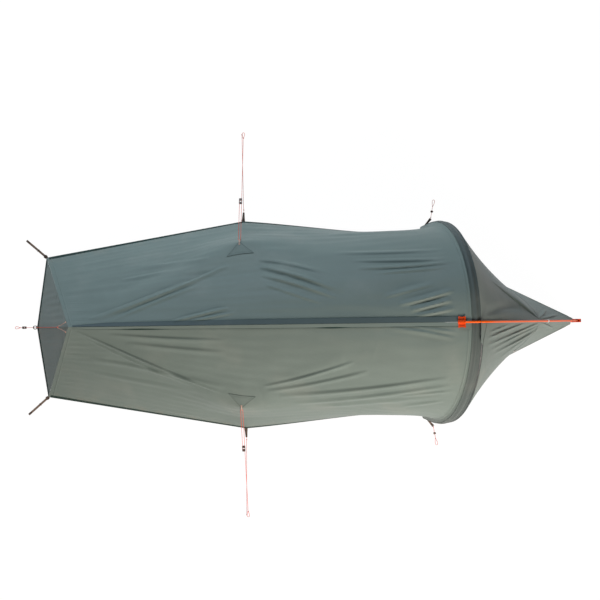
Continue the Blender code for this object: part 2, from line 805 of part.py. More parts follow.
def build_hub():
    """The webbing hub behind the crown, which holds the strut's rear end in a tunnel."""
    middle, up = hub_frame()
    side = Vector((0, 1, 0))
    ends = [middle + STRUT_REAR_DIRECTION * (HUB_LENGTH / 2 * e) for e in (-1, 0, 1)]
    base_gap = CLOTH_T / 2 + FIT + BAND_T + FIT * 3
    depth_at = [max((fly_at(e.x, v) - middle).dot(up) for e in ends) + base_gap for v in (0.0, 0.03)]
    slope = (depth_at[1] - depth_at[0]) / fly_at(middle.x, 0.03).y
    outer = POLE_R + FIT + HUB_WALL
    rise = depth_at[0] + HUB_T * 1.3
    outline = [(-HUB_HALF, depth_at[0] + slope * HUB_HALF)]
    outline += [(0.0, depth_at[0])]
    outline += [(HUB_HALF, depth_at[0] + slope * HUB_HALF)]
    outline += [(HUB_HALF, rise + slope * HUB_HALF), (outer, rise + slope * outer)]
    outline += [(outer * math.cos(a), outer * math.sin(a)) for a in span(0.0, math.pi, 6)]
    outline += [(-outer, rise + slope * outer), (-HUB_HALF, rise + slope * HUB_HALF)]
    start = middle - STRUT_REAR_DIRECTION * (HUB_LENGTH / 2)
    finish = material("orange_webbing", ORANGE, 0.7)
    hub = extruded("hub_bracket", outline, start, STRUT_REAR_DIRECTION * HUB_LENGTH, side, up, finish)
    bore_start = STRUT_LINE[0] - STRUT_REAR_DIRECTION * FIT
    bore_end = middle + STRUT_REAR_DIRECTION * HUB_LENGTH
    cut(hub, rod("hub_bore", bore_start, bore_end, POLE_R + FIT, 16, finish))


def build_front_pocket():
    """The webbing pocket at the front tip, open on top for the strut's tip."""
    finish = material("orange_webbing", ORANGE, 0.7)
    rear = STRUT_TIP.x - POCKET_BEHIND
    front = rear + POCKET_LENGTH
    z = STRUT_TIP.z
    outline = [(rear, POCKET_BASE_Z), (front, POCKET_BASE_Z), (front, POCKET_BASE_Z + POCKET_NOSE_H),
               (STRUT_TIP.x + 0.013, z + 0.0036), (STRUT_TIP.x + 0.002, z + 0.0216),
               (rear + 0.012, z + 0.0136), (rear, z + 0.0016)]
    start = Vector((0, -POCKET_HALF, 0))
    depth = Vector((0, 2 * POCKET_HALF, 0))
    pocket = extruded("front_pole_pocket", outline, start, depth, Vector((1, 0, 0)), Vector((0, 0, 1)), finish)
    back = STRUT_END_DIRECTION * -0.06
    cut(pocket, rod("pocket_bore", STRUT_TIP + back, STRUT_TIP + STRUT_END_DIRECTION * FIT, POLE_R + FIT, 16, finish))
    deep = STRUT_TIP + STRUT_END_DIRECTION * (TIP_LENGTH + FIT)
    cut(pocket, rod("pocket_tip_bore", STRUT_TIP + back / 4, deep, TIP_R + FIT, 16, finish))


def vestibule_point(u, v, edge):
    """The left vestibule panel, from the edge along the hoop to the front tip."""
    top, foot = edge(0.0), edge(1.0)
    tip_top = Vector((TIP_X, 0.0, TIP_TOP_Z))
    tip_hem = Vector((TIP_X + 0.010, TIP_HEM_Y, HEM_Z))
    kink = Vector((KINK_X, KINK_Y, KINK_Z))
    ridge = top.lerp(tip_top, u)
    if u <= KINK_SHARE:
        hem = foot.lerp(kink, u / KINK_SHARE)
    else:
        hem = kink.lerp(tip_hem, (u - KINK_SHARE) / (1 - KINK_SHARE))
    bow = edge(v) - top.lerp(foot, v)
    point = ridge.lerp(hem, v) + bow * (1 - u) ** ARCH_DECAY
    lift = fold_height(point, LEFT, VESTIBULE_FOLDS) * min(1.0, 5 * v)
    return point + outward(point) * lift


def left_front_edge(v):
    """The vestibule panel's edge along the front of the sleeve."""
    return hoop_point(v * HEM_DISTANCE) + HOOP_NORMAL * ARCH_OFFSET


def door_edge(v):
    """The door's edge, past the zip."""
    return hoop_point(v * HEM_DISTANCE) + HOOP_NORMAL * (ARCH_OFFSET + ZIP_W + SEAM)


DOOR_TOP = door_edge(0.0)
DOOR_AXIS = (Vector((TIP_X, 0.0, TIP_TOP_Z)) - DOOR_TOP).normalized()
VESTIBULE_US = span(0.0, KINK_SHARE, 9) + span(KINK_SHARE, 1.0, 6)[1:]
VESTIBULE_VS = span(0.0, 1.0, 14)


def door_share(u, v):
    """A share along the door, which stops short of the pocket and leaves its top corner off the strut."""
    corner = DOOR_CORNER_SHARE * max(0.0, 1 - v / VESTIBULE_VS[1])
    return mix(corner, DOOR_END_SHARE, u)


def build_vestibule():
    """The fixed left panel and the door on the right, which meet along the ridge."""
    rows = [[vestibule_point(u, v, left_front_edge) for v in VESTIBULE_VS] for u in VESTIBULE_US]
    rows = [[Vector((p.x, max(p.y, SEAM / 2), p.z)) for p in row] for row in rows]
    sheet("vestibule_panel", rows, material("vestibule_cloth", CLOTH_DARK, 0.55), CLOTH_T)
    rows = [[vestibule_point(door_share(u, v), v, door_edge) for v in VESTIBULE_VS] for u in VESTIBULE_US]
    rows = [[Vector((p.x, -max(p.y, HINGE_GAP), p.z)) for p in row] for row in rows]
    door = sheet("vestibule_door", rows, material("door_cloth", CLOTH_LIGHT, 0.55), CLOTH_T)
    origin_at(door, DOOR_TOP)


def zip_rows(half, rise):
    """The zip's chain along the right of the hoop, as rings of four points."""
    points = []
    for distance in stations_between(-HEM_DISTANCE, -ZIP_TOP):
        centre = hoop_point(distance) + HOOP_NORMAL * (ARCH_OFFSET + ZIP_W / 2)
        away = hoop_outward(distance)
        for across, up in ((-1, -1), (1, -1), (1, 1), (-1, 1)):
            points.append(centre + HOOP_NORMAL * (across * half) + away * (up * rise))
    return points


def build_zip():
    """The zip's tapes and chain in front of the sleeve, and the slider on its straight part."""
    finish = material("zip_tape", BLACK, 0.6)
    points = zip_rows(ZIP_W / 2, ZIP_T / 2)
    rings = len(points) // 4
    faces = [(0, 1, 2, 3), tuple(range(4 * rings - 4, 4 * rings))]
    for r in range(rings - 1):
        for n in range(4):
            m = (n + 1) % 4
            faces.append((4 * r + n, 4 * r + m, 4 * r + 4 + m, 4 * r + 4 + n))
    solid("door_zip", points, faces, finish)
    foot, upper = hoop_point(-hoop_distance_at(SLIDER_Z)), hoop_point(-hoop_distance_at(HOOP_LEG_Z))
    up = (upper - foot).normalized()
    away = Vector((0, -1, 0))
    rise = ZIP_T / 2 + FIT + SLIDER_SIZE[1] / 2
    centre = foot + HOOP_NORMAL * (ARCH_OFFSET + ZIP_W / 2) + away * rise
    body = block("zip_slider", centre, SLIDER_SIZE, (HOOP_NORMAL, away, up), material("zip_metal", BLACK, 0.35, 0.8))
    origin_at(body, centre)
    pin = centre + away * (SLIDER_SIZE[1] / 2 + FIT + PULL_SIZE[1] / 2) + up * (PULL_RISE - PULL_PIN)
    hang = pin - up * (PULL_SIZE[2] / 2 - PULL_PIN)
    pull = block("zip_pull", hang, PULL_SIZE, (HOOP_NORMAL, away, up), material("orange_webbing", ORANGE, 0.7))
    origin_at(pull, pin)


def build_strut_clip():
    """The clip on the strut, whose tab holds up the left panel's ridge."""
    k = max(n for n, p in enumerate(STRUT_LINE) if p.x < CLIP_X)
    along = (STRUT_LINE[k + 1] - STRUT_LINE[k]).normalized()
    share = (CLIP_X - STRUT_LINE[k].x) / (STRUT_LINE[k + 1].x - STRUT_LINE[k].x)
    middle = STRUT_LINE[k].lerp(STRUT_LINE[k + 1], share)
    side = Vector((0, 1, 0))
    up = along.cross(side).normalized()
    up = -up if up.z < 0 else up
    top = left_front_edge(0.0)
    ridge = (Vector((TIP_X, 0.0, TIP_TOP_Z)) - top).normalized()
    drop = (middle - top).dot(up) - ridge.dot(up) * (middle - top).dot(along) / ridge.dot(along)
    low = -drop + CLOTH_T * 0.9 + FIT
    outer = POLE_R + FIT + CLIP_WALL
    right_edge, left_edge = HINGE_GAP, HINGE_GAP + CLIP_TAB_W
    neck = math.asin(left_edge / outer)
    round_part = [(outer * math.sin(a), -outer * math.cos(a)) for a in span(neck, 2 * math.pi - 0.25, 16)]
    outline = [(left_edge, low)] + round_part + [(right_edge, -outer * 0.95), (right_edge, low)]
    start = middle - along * (CLIP_LENGTH / 2)
    finish = material("clip_plastic", PALE, 0.4)
    clip = extruded("strut_clip", outline, start, along * CLIP_LENGTH, side, up, finish)
    cut(clip, rod("clip_bore", middle - along * 0.02, middle + along * 0.02, POLE_R + FIT, 16, finish))


def guy_point():
    """The left side patch's tip, on the cloth's middle surface."""
    return fly_point(GUY_U, GUY_V)


def distance_to_line(p, points):
    """The distance from a point to a line of straight stretches."""
    best = math.inf
    for a, b in zip(points, points[1:]):
        share = min(max((p - a).dot(b - a) / (b - a).length_squared, 0.0), 1.0)
        best = min(best, (p - a.lerp(b, share)).length)
    return best


def side_guy_frame():
    """Where the side webbing loop sits, and the direction of the guy line to the ground."""
    tip = guy_point()
    peg = Vector((GUY_X, PEG_Y, CORD_R))
    along = (peg - tip).normalized()
    section = [fly_point(GUY_U, v) for v in FLY_VS]
    patch_tip = tip + outward(tip) * (CLOTH_T / 2 + FIT + PATCH_T)
    near, far = 0.0, LOOP_R * 6
    for _ in range(40):
        middle = (near + far) / 2
        centre = tip + along * middle
        clear = distance_to_line(centre, section) - CLOTH_T / 2
        if min(clear, (centre - patch_tip).length) > LOOP_R + FIT * 1.5:
            far = middle
        else:
            near = middle
    return tip + along * far, along, peg


def build_side_loops():
    """Webbing loops at the tips of the side patches."""
    finish = material("loop_webbing", (0.55, 0.42, 0.36), 0.8)
    for side in (LEFT, RIGHT):
        centre, _, _ = side_guy_frame()
        centre = side_point(centre, side)
        start = centre - Vector((LOOP_W / 2, 0, 0))
        axes = (Vector((0, 1, 0)), Vector((0, 0, 1)))
        rings = [(start, *axes, LOOP_R), (start + Vector((LOOP_W, 0, 0)), *axes, LOOP_R)]
        loop = turned("side_loop_" + SIDE_NAME[side], rings, 14, finish)
        reach = Vector((LOOP_W, 0, 0))
        cut(loop, rod("loop_bore_" + SIDE_NAME[side], centre - reach, centre + reach, LOOP_BORE_R, 12, finish))


def tapered_strip(name, start, end, root_half, tip_half, thick, finish):
    """A flat webbing strip that narrows along its length."""
    along = (end - start).normalized()
    across = Vector((-along.y, along.x, 0)).normalized()
    up = along.cross(across).normalized()
    points = []
    for centre, half in ((start, root_half), (end, tip_half)):
        for a, b in ((-1, -1), (1, -1), (1, 1), (-1, 1)):
            points.append(centre + across * (a * half) + up * (b * thick / 2))
    faces = [(0, 1, 2, 3), (4, 5, 6, 7)]
    faces += [(n, (n + 1) % 4, 4 + (n + 1) % 4, 4 + n) for n in range(4)]
    return solid(name, points, faces, finish)


def hem_tab_ends():
    """The left hem tab's root and tip."""
    hem = fly_point(GUY_U, 1.0)
    root = hem + Vector((0, CLOTH_T / 2 + FIT, TAB_T))
    return root, root + Vector((0.002, HEM_TAB_LENGTH, -0.012))


def cup_centre():
    """The foot of the left pole socket's axis, on the ground side."""
    return Vector((hoop_point(HOOP_HALF_LENGTH).x, HOOP_HALF, 0.0))


def foot_tab_ends():
    """The left hoop-foot tab's root and tip."""
    direction = Vector((math.cos(FOOT_TAB_ANGLE), math.sin(FOOT_TAB_ANGLE), 0.0))
    root = cup_centre() + direction * (CUP_R + FIT) + Vector((0, 0, CUP_H - TAB_T))
    return root, root + direction * FOOT_TAB_LENGTH


def build_tabs():
    """Webbing tabs on the side hems and at the hoop's feet."""
    finish = material("brown_webbing", BROWN, 0.8)
    for side in (LEFT, RIGHT):
        for name, ends, halves in (("side_hem_tab_", hem_tab_ends(), HEM_TAB_HALVES),
                                   ("hoop_foot_tab_", foot_tab_ends(), FOOT_TAB_HALVES)):
            root, tip = (side_point(p, side) for p in ends)
            tapered_strip(name + SIDE_NAME[side], root, tip, *halves, TAB_T, finish)


def build_pole_cups():
    """The sockets that the hoop's feet stand in."""
    finish = material("cup_plastic", BLACK, 0.5)
    axes = (Vector((1, 0, 0)), Vector((0, 1, 0)))
    for side in (LEFT, RIGHT):
        centre = side_point(cup_centre(), side)
        low, high = centre + Vector((0, 0, CUP_BASE_Z)), centre + Vector((0, 0, CUP_BASE_Z + CUP_H))
        cup = turned("pole_cup_" + SIDE_NAME[side], [(low, *axes, CUP_R), (high, *axes, CUP_R)], 16, finish)
        foot = side_point(hoop_point(HOOP_HALF_LENGTH), side)
        along = (side_point(hoop_point(HOOP_HALF_LENGTH - 0.05), side) - foot).normalized()
        bore = rod("cup_bore_" + SIDE_NAME[side], foot - along * FIT, foot + along * 0.05, POLE_R + FIT, 16, finish)
        cut(cup, bore)


def strap_frame(side):
    """A rear corner's strap: the corner's outer point, its direction and the axis across it."""
    along = Vector((math.cos(STRAP_ANGLE), math.sin(STRAP_ANGLE) * side, 0))
    across = Vector((-along.y, along.x, 0))
    corner = Vector((CORNER_X, CORNER_Y * side, HEM_Z - STRAP_DROP)) + along * (CLOTH_T / 2 + FIT)
    return corner, along, across


def build_corner_straps():
    """Ladder-lock buckles at the rear corners, and the straps that slide in them."""
    buckle_finish = material("buckle_plastic", BLACK, 0.45)
    strap_finish = material("strap_webbing", (0.13, 0.11, 0.09), 0.8)
    up = Vector((0, 0, 1))
    for side in (LEFT, RIGHT):
        corner, along, across = strap_frame(side)
        middle = corner + along * (BUCKLE_L / 2)
        name = SIDE_NAME[side]
        frame = (along, across, up)
        buckle = plate("corner_buckle_" + name, middle, (BUCKLE_L, BUCKLE_W, BUCKLE_H), BUCKLE_CORNER,
                       frame, buckle_finish)
        slot = (BUCKLE_L * 2, STRAP_W + 2 * FIT, STRAP_T + 2 * FIT)
        cut(buckle, block("buckle_slot_" + name, middle, slot, frame, buckle_finish))
        window = (BUCKLE_WINDOW, STRAP_W, BUCKLE_H * 2)
        cut(buckle, block("buckle_window_" + name, middle, window, frame, buckle_finish))
        centre = corner + along * ((STRAP_REACH - STRAP_TAIL) / 2)
        size = (STRAP_REACH + STRAP_TAIL, STRAP_W, STRAP_T)
        strap = block("corner_strap_" + name, centre, size, frame, strap_finish)
        origin_at(strap, centre)


def ring_centre():
    """The middle of the ring on the rear hem, whose outside touches the hem."""
    away = Vector((0, 1, 0)).cross(rear_guy_direction())
    away = -away if away.x > 0 else away
    return Vector((REAR_HEM_X, 0.0, HEM_Z)) + away * (RING_R + CLOTH_T / 2 + FIT)


def build_rear_ring():
    """The webbing ring on the rear hem, which the rear guy passes through."""
    finish = material("brown_webbing", BROWN, 0.8)
    centre = ring_centre()
    direction = rear_guy_direction()
    first, second = across_axes(direction)
    half = direction * (RING_W / 2)
    ring = turned("rear_ring", [(centre - half, first, second, RING_R), (centre + half, first, second, RING_R)], 16, finish)
    cut(ring, rod("ring_bore", centre - direction * RING_W, centre + direction * RING_W, RING_BORE_R, 14, finish))


def rear_guy_direction():
    """Up the rear panel's middle, which the rear guy runs along."""
    return Vector((REAR_APEX_X - REAR_HEM_X, 0.0, REAR_APEX_Z - HEM_Z)).normalized()


def build_groundsheet():
    """The bathtub floor of the inner tent: a tray with raised walls."""
    def corners(shrink, z):
        rear, front = FLOOR_REAR_X + shrink, FLOOR_FRONT_X - shrink
        rear_half, front_half = FLOOR_REAR_HALF - shrink, FLOOR_FRONT_HALF - shrink
        return [Vector((rear, -rear_half, z)), Vector((front, -front_half, z)),
                Vector((front, front_half, z)), Vector((rear, rear_half, z))]
    rings = [corners(0.0, 0.0), corners(0.0, TRAY_H), corners(FLOOR_T, TRAY_H), corners(FLOOR_T, FLOOR_T)]
    points = [p for ring in rings for p in ring]
    faces = [(0, 1, 2, 3), (12, 15, 14, 13)]
    for r in range(3):
        faces += [(4 * r + n, 4 * r + (n + 1) % 4, 4 * r + 4 + (n + 1) % 4, 4 * r + 4 + n) for n in range(4)]
    solid("groundsheet", points, faces, material("floor_cloth", FLOOR_GREY, 0.6))


def inner_section(t, w):
    """The inner tent's left wall: t from foot to head, w from the tray's rim to the ridge."""
    base = Vector((mix(FLOOR_REAR_X, FLOOR_FRONT_X, t), mix(FLOOR_REAR_HALF, FLOOR_FRONT_HALF, t), TRAY_H + SEAM))
    base.y -= FLOOR_T / 2
    crest = Vector((mix(INNER_REAR_X, FLOOR_FRONT_X, t), 0.0, inner_ridge_z(t)))
    bow = INNER_BULGE * mix(*INNER_BULGE_ENDS, t) * math.sin(math.pi * w)
    return base.lerp(crest, w) + Vector((0.0, bow * 0.8, bow * 0.6))


def inner_ridge_z(t):
    """The inner tent's ridge height, which sags between its ends."""
    rise = INNER_FRONT_Z - INNER_REAR_Z
    return INNER_REAR_Z + t * rise - INNER_SAG_SHARE * t * (1 - t) * rise


def build_inner_walls():
    """The inner tent's side walls, foot wall, and head wall with its door."""
    net = material("inner_net", INNER_PALE, 0.8)
    rows = [[inner_section(t, w) for w in span(0.0, 1.0, 6)] for t in span(0.0, 1.0, 10)]
    gap = SEAM / 2 + INNER_T / 2
    for side in (LEFT, RIGHT):
        placed = [[side_point((p.x, max(p.y, gap), p.z), side) for p in row] for row in rows]
        placed[0] = [p + Vector((SEAM * 2, 0, 0)) for p in placed[0]]
        placed[-1] = [p - Vector((SEAM + INNER_T, 0, 0)) for p in placed[-1]]
        sheet("inner_wall_" + SIDE_NAME[side], placed, net, INNER_T)
    foot = []
    for w in span(0.0, FOOT_WALL_SHARE, 4):
        edge = inner_section(0.0, w)
        back = edge + Vector((-SEAM, -INNER_T * 0.7, 0))
        foot.append([side_point((back.x, back.y * s, back.z), LEFT) for s in span(-1.0, 1.0, 4)])
    sheet("inner_foot_wall", foot, net, INNER_T)
    build_head_wall(net)


def build_head_wall(net):
    """The flat head wall, cut away for its door, and the door hinged at its foot."""
    rim = [inner_section(1.0, w) for w in span(0.0, 1.0, 6)]
    left = [(p.y, p.z) for p in rim]
    right = [(-y, z) for y, z in reversed(left[:-1])]
    lean = (DOOR_BASE_HALF - DOOR_TOP_HALF) / (DOOR_Z - TRAY_H)
    foot_half = DOOR_BASE_HALF + DOOR_GAP
    top_half = foot_half - lean * (DOOR_Z + DOOR_GAP - TRAY_H)
    gate = [(-foot_half, TRAY_H + SEAM), (-top_half, DOOR_Z + DOOR_GAP),
            (top_half, DOOR_Z + DOOR_GAP), (foot_half, TRAY_H + SEAM)]
    start = Vector((FLOOR_FRONT_X - INNER_T, 0, 0))
    depth = Vector((INNER_T, 0, 0))
    axes = (Vector((0, 1, 0)), Vector((0, 0, 1)))
    extruded("inner_head_wall", left + right + gate, start, depth, *axes, net)
    base = TRAY_H + DOOR_GAP
    panel = [(-DOOR_BASE_HALF, base), (DOOR_BASE_HALF, base), (DOOR_TOP_HALF, DOOR_Z), (-DOOR_TOP_HALF, DOOR_Z)]
    door = extruded("inner_door", panel, start, depth, *axes, material("inner_mesh", (0.03, 0.032, 0.034), 0.8))
    origin_at(door, inner_door_axis())


def inner_door_axis():
    """A point on the inner door's hinge line."""
    return Vector((FLOOR_FRONT_X - INNER_T / 2, 0.0, TRAY_H + DOOR_GAP))


def build_hangers():
    """Elastic hangers between the inner tent's ridge and the flysheet's."""
    finish = material("elastic", BLACK, 0.7)
    for n, t in enumerate(HANGER_SHARES):
        low = inner_section(t, 1.0) + Vector((0, 0, INNER_T / 2 + HANGER_R / 2 + FIT))
        high = Vector((low.x, 0.0, fly_at(low.x, 0.0).z - CLOTH_T / 2 - HANGER_R - FIT))
        rod(f"inner_hanger_{n + 1}", low, high, HANGER_R, 8, finish)


def build_foot_pole():
    """The short pole that holds the rear apex up, just inside the rear panel."""
    along = Vector((math.cos(FOOT_POLE_ANGLE), 0, math.sin(FOOT_POLE_ANGLE)))
    forward, down = FOOT_POLE_SEAT
    top = Vector((REAR_APEX_X + forward, 0, REAR_APEX_Z)) - along * down
    base = top - along * ((top.z - FOOT_POLE_END_Z) / along.z)
    axes = (Vector((0, 1, 0)), along.cross(Vector((0, 1, 0))).normalized())
    rings = [(base, *axes, TIP_R), (base + along * TIP_LENGTH, *axes, TIP_R),
             (base + along * (TIP_LENGTH + 0.0001), *axes, POLE_R),
             (top - along * TIP_LENGTH, *axes, POLE_R), (top, *axes, TIP_R)]
    turned("foot_pole", rings, 10, material("pole_metal", GREY_METAL, 0.3, 1.0))


def peg_eye(end, along, across, length, half):
    """Points round the eye that closes a guy line at the ground, from the line back to its knot."""
    return [end - along * length, end - along * (length * 0.6) + across * half * 0.8,
            end - along * (length * 0.15) + across * half, end,
            end - along * (length * 0.15) - across * half, end - along * (length * 0.6) - across * half * 0.8,
            end - along * (length * 0.85) - across * 0.0030]


def line_lock(name, place, width, length, frame, strands, window=None):
    """A line-lock: a flat body with cut corners, a bore along each strand and a window between its ends."""
    finish = material("lock_plastic", BROWN, 0.5)
    across, along, _ = frame
    body = plate(name, place, (width, length, LOCK_H), LOCK_CORNER, frame, finish)
    for n, shift in enumerate(strands):
        middle = place + across * shift
        cut(body, rod(f"{name}_bore_{n}", middle - along * length, middle + along * length, LOCK_BORE_R, 10, finish))
    if window:
        cut(body, block(name + "_window", place, (*window, LOCK_H * 2), frame, finish))
    origin_at(body, place)


def build_side_guys():
    """The side guy lines, doubled from the loop to the line-lock, with an eye at the ground."""
    red = material("guy_cord", CORD_RED, 0.7)
    centre, along, peg = side_guy_frame()
    length = (peg - centre).length
    lock = centre + along * (length * LOCK_SHARE)
    x = Vector((STRAND_HALF, 0, 0))
    end = peg + x
    route = [lock - x + along * 0.012, lock - x, lock - x - along * 0.02, centre - x + along * 0.012,
             centre - x * 0.95 + along * 0.002, centre - x * 0.45 - along * 0.0005,
             centre + x * 0.45 - along * 0.0005, centre + x * 0.95 + along * 0.002,
             centre + x + along * 0.012, lock + x - along * 0.02, lock + x, lock + x + along * 0.03,
             end - along * (SIDE_EYE + EYE_LEAD)]
    flat = Vector((1, 0, 0))
    route += peg_eye(end - along * CORD_R, along, flat, SIDE_EYE, EYE_HALF)
    up = along.cross(flat).normalized()
    for side in (LEFT, RIGHT):
        name = SIDE_NAME[side]
        cord("side_guy_" + name, [side_point(p, side) for p in route], red)
        frame = tuple(side_point(a, side) for a in (flat, along, up))
        strands = (STRAND_HALF, -STRAND_HALF)
        line_lock("side_lock_" + name, side_point(lock, side), SIDE_LOCK_W, SIDE_LOCK_L, frame, strands, SIDE_WINDOW)


def build_hem_guys():
    """The second line from each side hem tab to the same ground point."""
    red = material("guy_cord", CORD_RED, 0.7)
    _, tip = hem_tab_ends()
    along = (Vector((GUY_X + 0.001, PEG_Y, CORD_R)) - tip).normalized()
    start = tip + along * (CORD_R / 2 + FIT)
    end = Vector((GUY_X - 0.003, PEG_Y - 0.012, CORD_R))
    knot = [start, start + along * 0.010 + Vector((0.0012, 0, 0)), start + along * 0.020]
    route = knot + [start.lerp(end, t) for t in (0.3, 0.6, 0.9)] + [end]
    for side in (LEFT, RIGHT):
        cord("side_hem_guy_" + SIDE_NAME[side], [side_point(p, side) for p in route], red)


def build_rear_guy():
    """The rear guy line: an eye at the ground, through the ring, up to the bridle's knot."""
    red = material("guy_cord", CORD_RED, 0.7)
    ring, up_line = ring_centre(), rear_guy_direction()
    apex = ring + up_line * ((Vector((REAR_APEX_X, 0, 0)) - ring).x / up_line.x)
    knot = ring.lerp(apex, KNOT_SHARE)
    eye = Vector((REAR_PEG_X, 0.0, CORD_R))
    down = (eye - ring).normalized()
    across = Vector((0, 1, 0))
    away = (ring - Vector((REAR_HEM_X, 0.0, HEM_Z))).normalized()
    rim = CORD_R + FIT + down.dot(away) * RING_W / 2
    ring = ring + away * (RING_BORE_R - rim / -down.dot(up_line) + CORD_R / 3)
    down = (eye - ring).normalized()
    lock = ring + down * REAR_LOCK_AT
    route = [knot, ring.lerp(knot, 0.5), ring + up_line * 0.012, ring, ring + down * 0.014,
             lock - down * 0.012, lock, lock + down * 0.012]
    route += peg_eye(eye, down, across, REAR_EYE, EYE_HALF)
    cord("rear_guy", route, red)
    axes = (across, down, down.cross(across).normalized())
    line_lock("rear_lock", lock, REAR_LOCK_W, REAR_LOCK_L, axes, (0.0,), REAR_WINDOW)
    leg = [Vector((REAR_APEX_X - 0.004, s * BRIDLE_HALF, REAR_APEX_Z - 0.004)) for s in (1, -1)]
    clear = Vector((-0.008, 0, 0.009))
    front = knot + up_line * (CORD_R + FIT * 5)
    apart = Vector((0, 0.003, 0))
    bridle = [leg[0] + clear, front.lerp(leg[0] + clear, 0.45), front + apart,
              front - apart, front.lerp(leg[1] + clear, 0.45), leg[1] + clear]
    cord("rear_bridle", bridle, material("pale_cord", (0.62, 0.45, 0.40), 0.7))


def build_foot_guys():
    """The short lines at the hoop's feet, each with a line-lock and an eye."""
    red = material("guy_cord", CORD_RED, 0.7)
    _, tip = foot_tab_ends()
    end = Vector((tip.x + FOOT_PEG_SHIFT[0], tip.y + FOOT_PEG_SHIFT[1], CORD_R))
    along = (end - tip).normalized()
    start = tip + along * (CORD_R / 2 + FIT)
    across = Vector((along.y, -along.x, 0)).normalized()
    lock = start + along * FOOT_LOCK_AT
    route = [start, start + along * 0.015, lock - along * 0.010, lock, lock + along * 0.010]
    route += peg_eye(end, along, across, FOOT_EYE, EYE_HALF)
    up = along.cross(across).normalized()
    for side in (LEFT, RIGHT):
        name = SIDE_NAME[side]
        cord("foot_guy_" + name, [side_point(p, side) for p in route], red)
        frame = tuple(side_point(a, side) for a in (across, along, up))
        line_lock("foot_lock_" + name, side_point(lock, side), FOOT_LOCK_W, FOOT_LOCK_L, frame, (0.0,))


def main():
    clear_scene()
    build_fly_panels()
    build_rear_panel()
    build_ridge_band()
    build_side_patches()
    build_hoop_sleeve()
    build_hoop_poles()
    build_strut()
    build_hub()
    build_front_pocket()
    build_vestibule()
    build_zip()
    build_strut_clip()
    build_side_loops()
    build_tabs()
    build_pole_cups()
    build_corner_straps()
    build_rear_ring()
    build_groundsheet()
    build_inner_walls()
    build_hangers()
    build_foot_pole()
    build_side_guys()
    build_hem_guys()
    build_rear_guy()
    build_foot_guys()


main()
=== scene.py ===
"""Looks of a pitched one-person tent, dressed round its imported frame.

Lengths are metres in the frame's own axes: +X to the front tip, +Y to the tent's left side, +Z up
from the ground. Cloth surfaces are worked out from the same driving sizes as the solids, with
finer steps, tension folds and seams. Every piece rides on the body that carries it.
"""

import logging
import math
from collections.abc import Callable
from dataclasses import dataclass
from enum import Enum
from functools import partial

import bpy
import numpy as np
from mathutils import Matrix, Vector


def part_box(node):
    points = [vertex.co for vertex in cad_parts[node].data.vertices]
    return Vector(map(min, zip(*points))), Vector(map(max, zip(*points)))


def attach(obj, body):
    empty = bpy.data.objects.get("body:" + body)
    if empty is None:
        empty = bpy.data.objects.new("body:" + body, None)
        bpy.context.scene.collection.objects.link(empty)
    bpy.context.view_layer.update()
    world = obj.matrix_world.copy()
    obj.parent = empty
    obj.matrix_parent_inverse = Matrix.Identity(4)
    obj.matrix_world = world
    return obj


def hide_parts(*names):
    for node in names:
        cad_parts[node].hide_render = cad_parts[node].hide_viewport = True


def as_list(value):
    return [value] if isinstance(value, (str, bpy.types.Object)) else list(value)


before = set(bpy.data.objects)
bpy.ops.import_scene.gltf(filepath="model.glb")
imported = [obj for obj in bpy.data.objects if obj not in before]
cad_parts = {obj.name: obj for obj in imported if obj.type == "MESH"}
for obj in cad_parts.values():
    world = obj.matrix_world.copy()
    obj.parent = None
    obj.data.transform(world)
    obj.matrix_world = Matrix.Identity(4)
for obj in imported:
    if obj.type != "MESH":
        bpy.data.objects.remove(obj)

LOG = logging.getLogger("tent")
Array = np.ndarray
Obj = bpy.types.Object
Socket = bpy.types.NodeSocket
Pair = tuple[float, float]
Point = Colour = tuple[float, float, float]
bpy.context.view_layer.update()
X_AXIS, Y_AXIS, Z_AXIS = np.eye(3)
TURN = 2 * math.pi
FIT = 0.0003
SOLID_LAYER = 0.0012
TAB_THICK = 0.0018
RING_RADIUS = 0.011
LOOP_CENTRE = np.array([-0.355, 0.43229, 0.36747])
LOOP_ALONG = np.array([0.0, 0.86295, -0.50529])
FOOT_TAB_TIP = np.array([0.67237, 0.56911, 0.0122])


class Side(Enum):
    """A side of the tent, with its sign along Y."""

    LEFT = 1
    RIGHT = -1

    @property
    def word(self) -> str:
        """The side's name as the frame's nodes spell it."""
        return self.name.lower()

    def turn(self, points: Array) -> Array:
        """Points given for the left side, mirrored in Y for the right one."""
        return points * np.array([1.0, float(self.value), 1.0])


def vec(*parts: float) -> Array:
    """An array of the given numbers."""
    return np.array(parts, float)


def unit(vectors: Array) -> Array:
    """Vectors scaled to length one along the last axis."""
    return vectors / np.maximum(np.linalg.norm(vectors, axis=-1, keepdims=True), 1e-12)


def mix(a: Array, b: Array, t: Array) -> Array:
    """Values between a and b at share t."""
    return a + (b - a) * t


def least(*terms: Array) -> Array:
    """The least of one and every term."""
    return np.minimum.reduce(np.broadcast_arrays(1.0, *terms))


def facing(vectors: Array, guide: Array) -> Array:
    """Vectors turned round where they point away from a guide."""
    return vectors * np.where((vectors * guide).sum(-1, keepdims=True) < 0, -1, 1)


def beside(line: Array, out: Array) -> Array:
    """The direction across a line, in the surface whose normal is given."""
    return unit(np.cross(unit(np.gradient(line, axis=0)), out))


def run(line: Array) -> Array:
    """The distance along a line at each of its points."""
    return np.concatenate([[0.0], np.cumsum(np.linalg.norm(np.diff(line, axis=0), axis=-1))])


def pick(marks: Array, far: Array, rows: Array) -> Array:
    """Rows read off at marks, where each row belongs to a distance."""
    return np.stack([np.interp(marks, far, rows[:, k]) for k in range(rows.shape[-1])], -1)


def loop(centre: Array, first: Array, second: Array, turn: Array) -> Array:
    """Points round a centre, from the first axis towards the second."""
    return centre + first * np.cos(turn)[:, None] + second * np.sin(turn)[:, None]


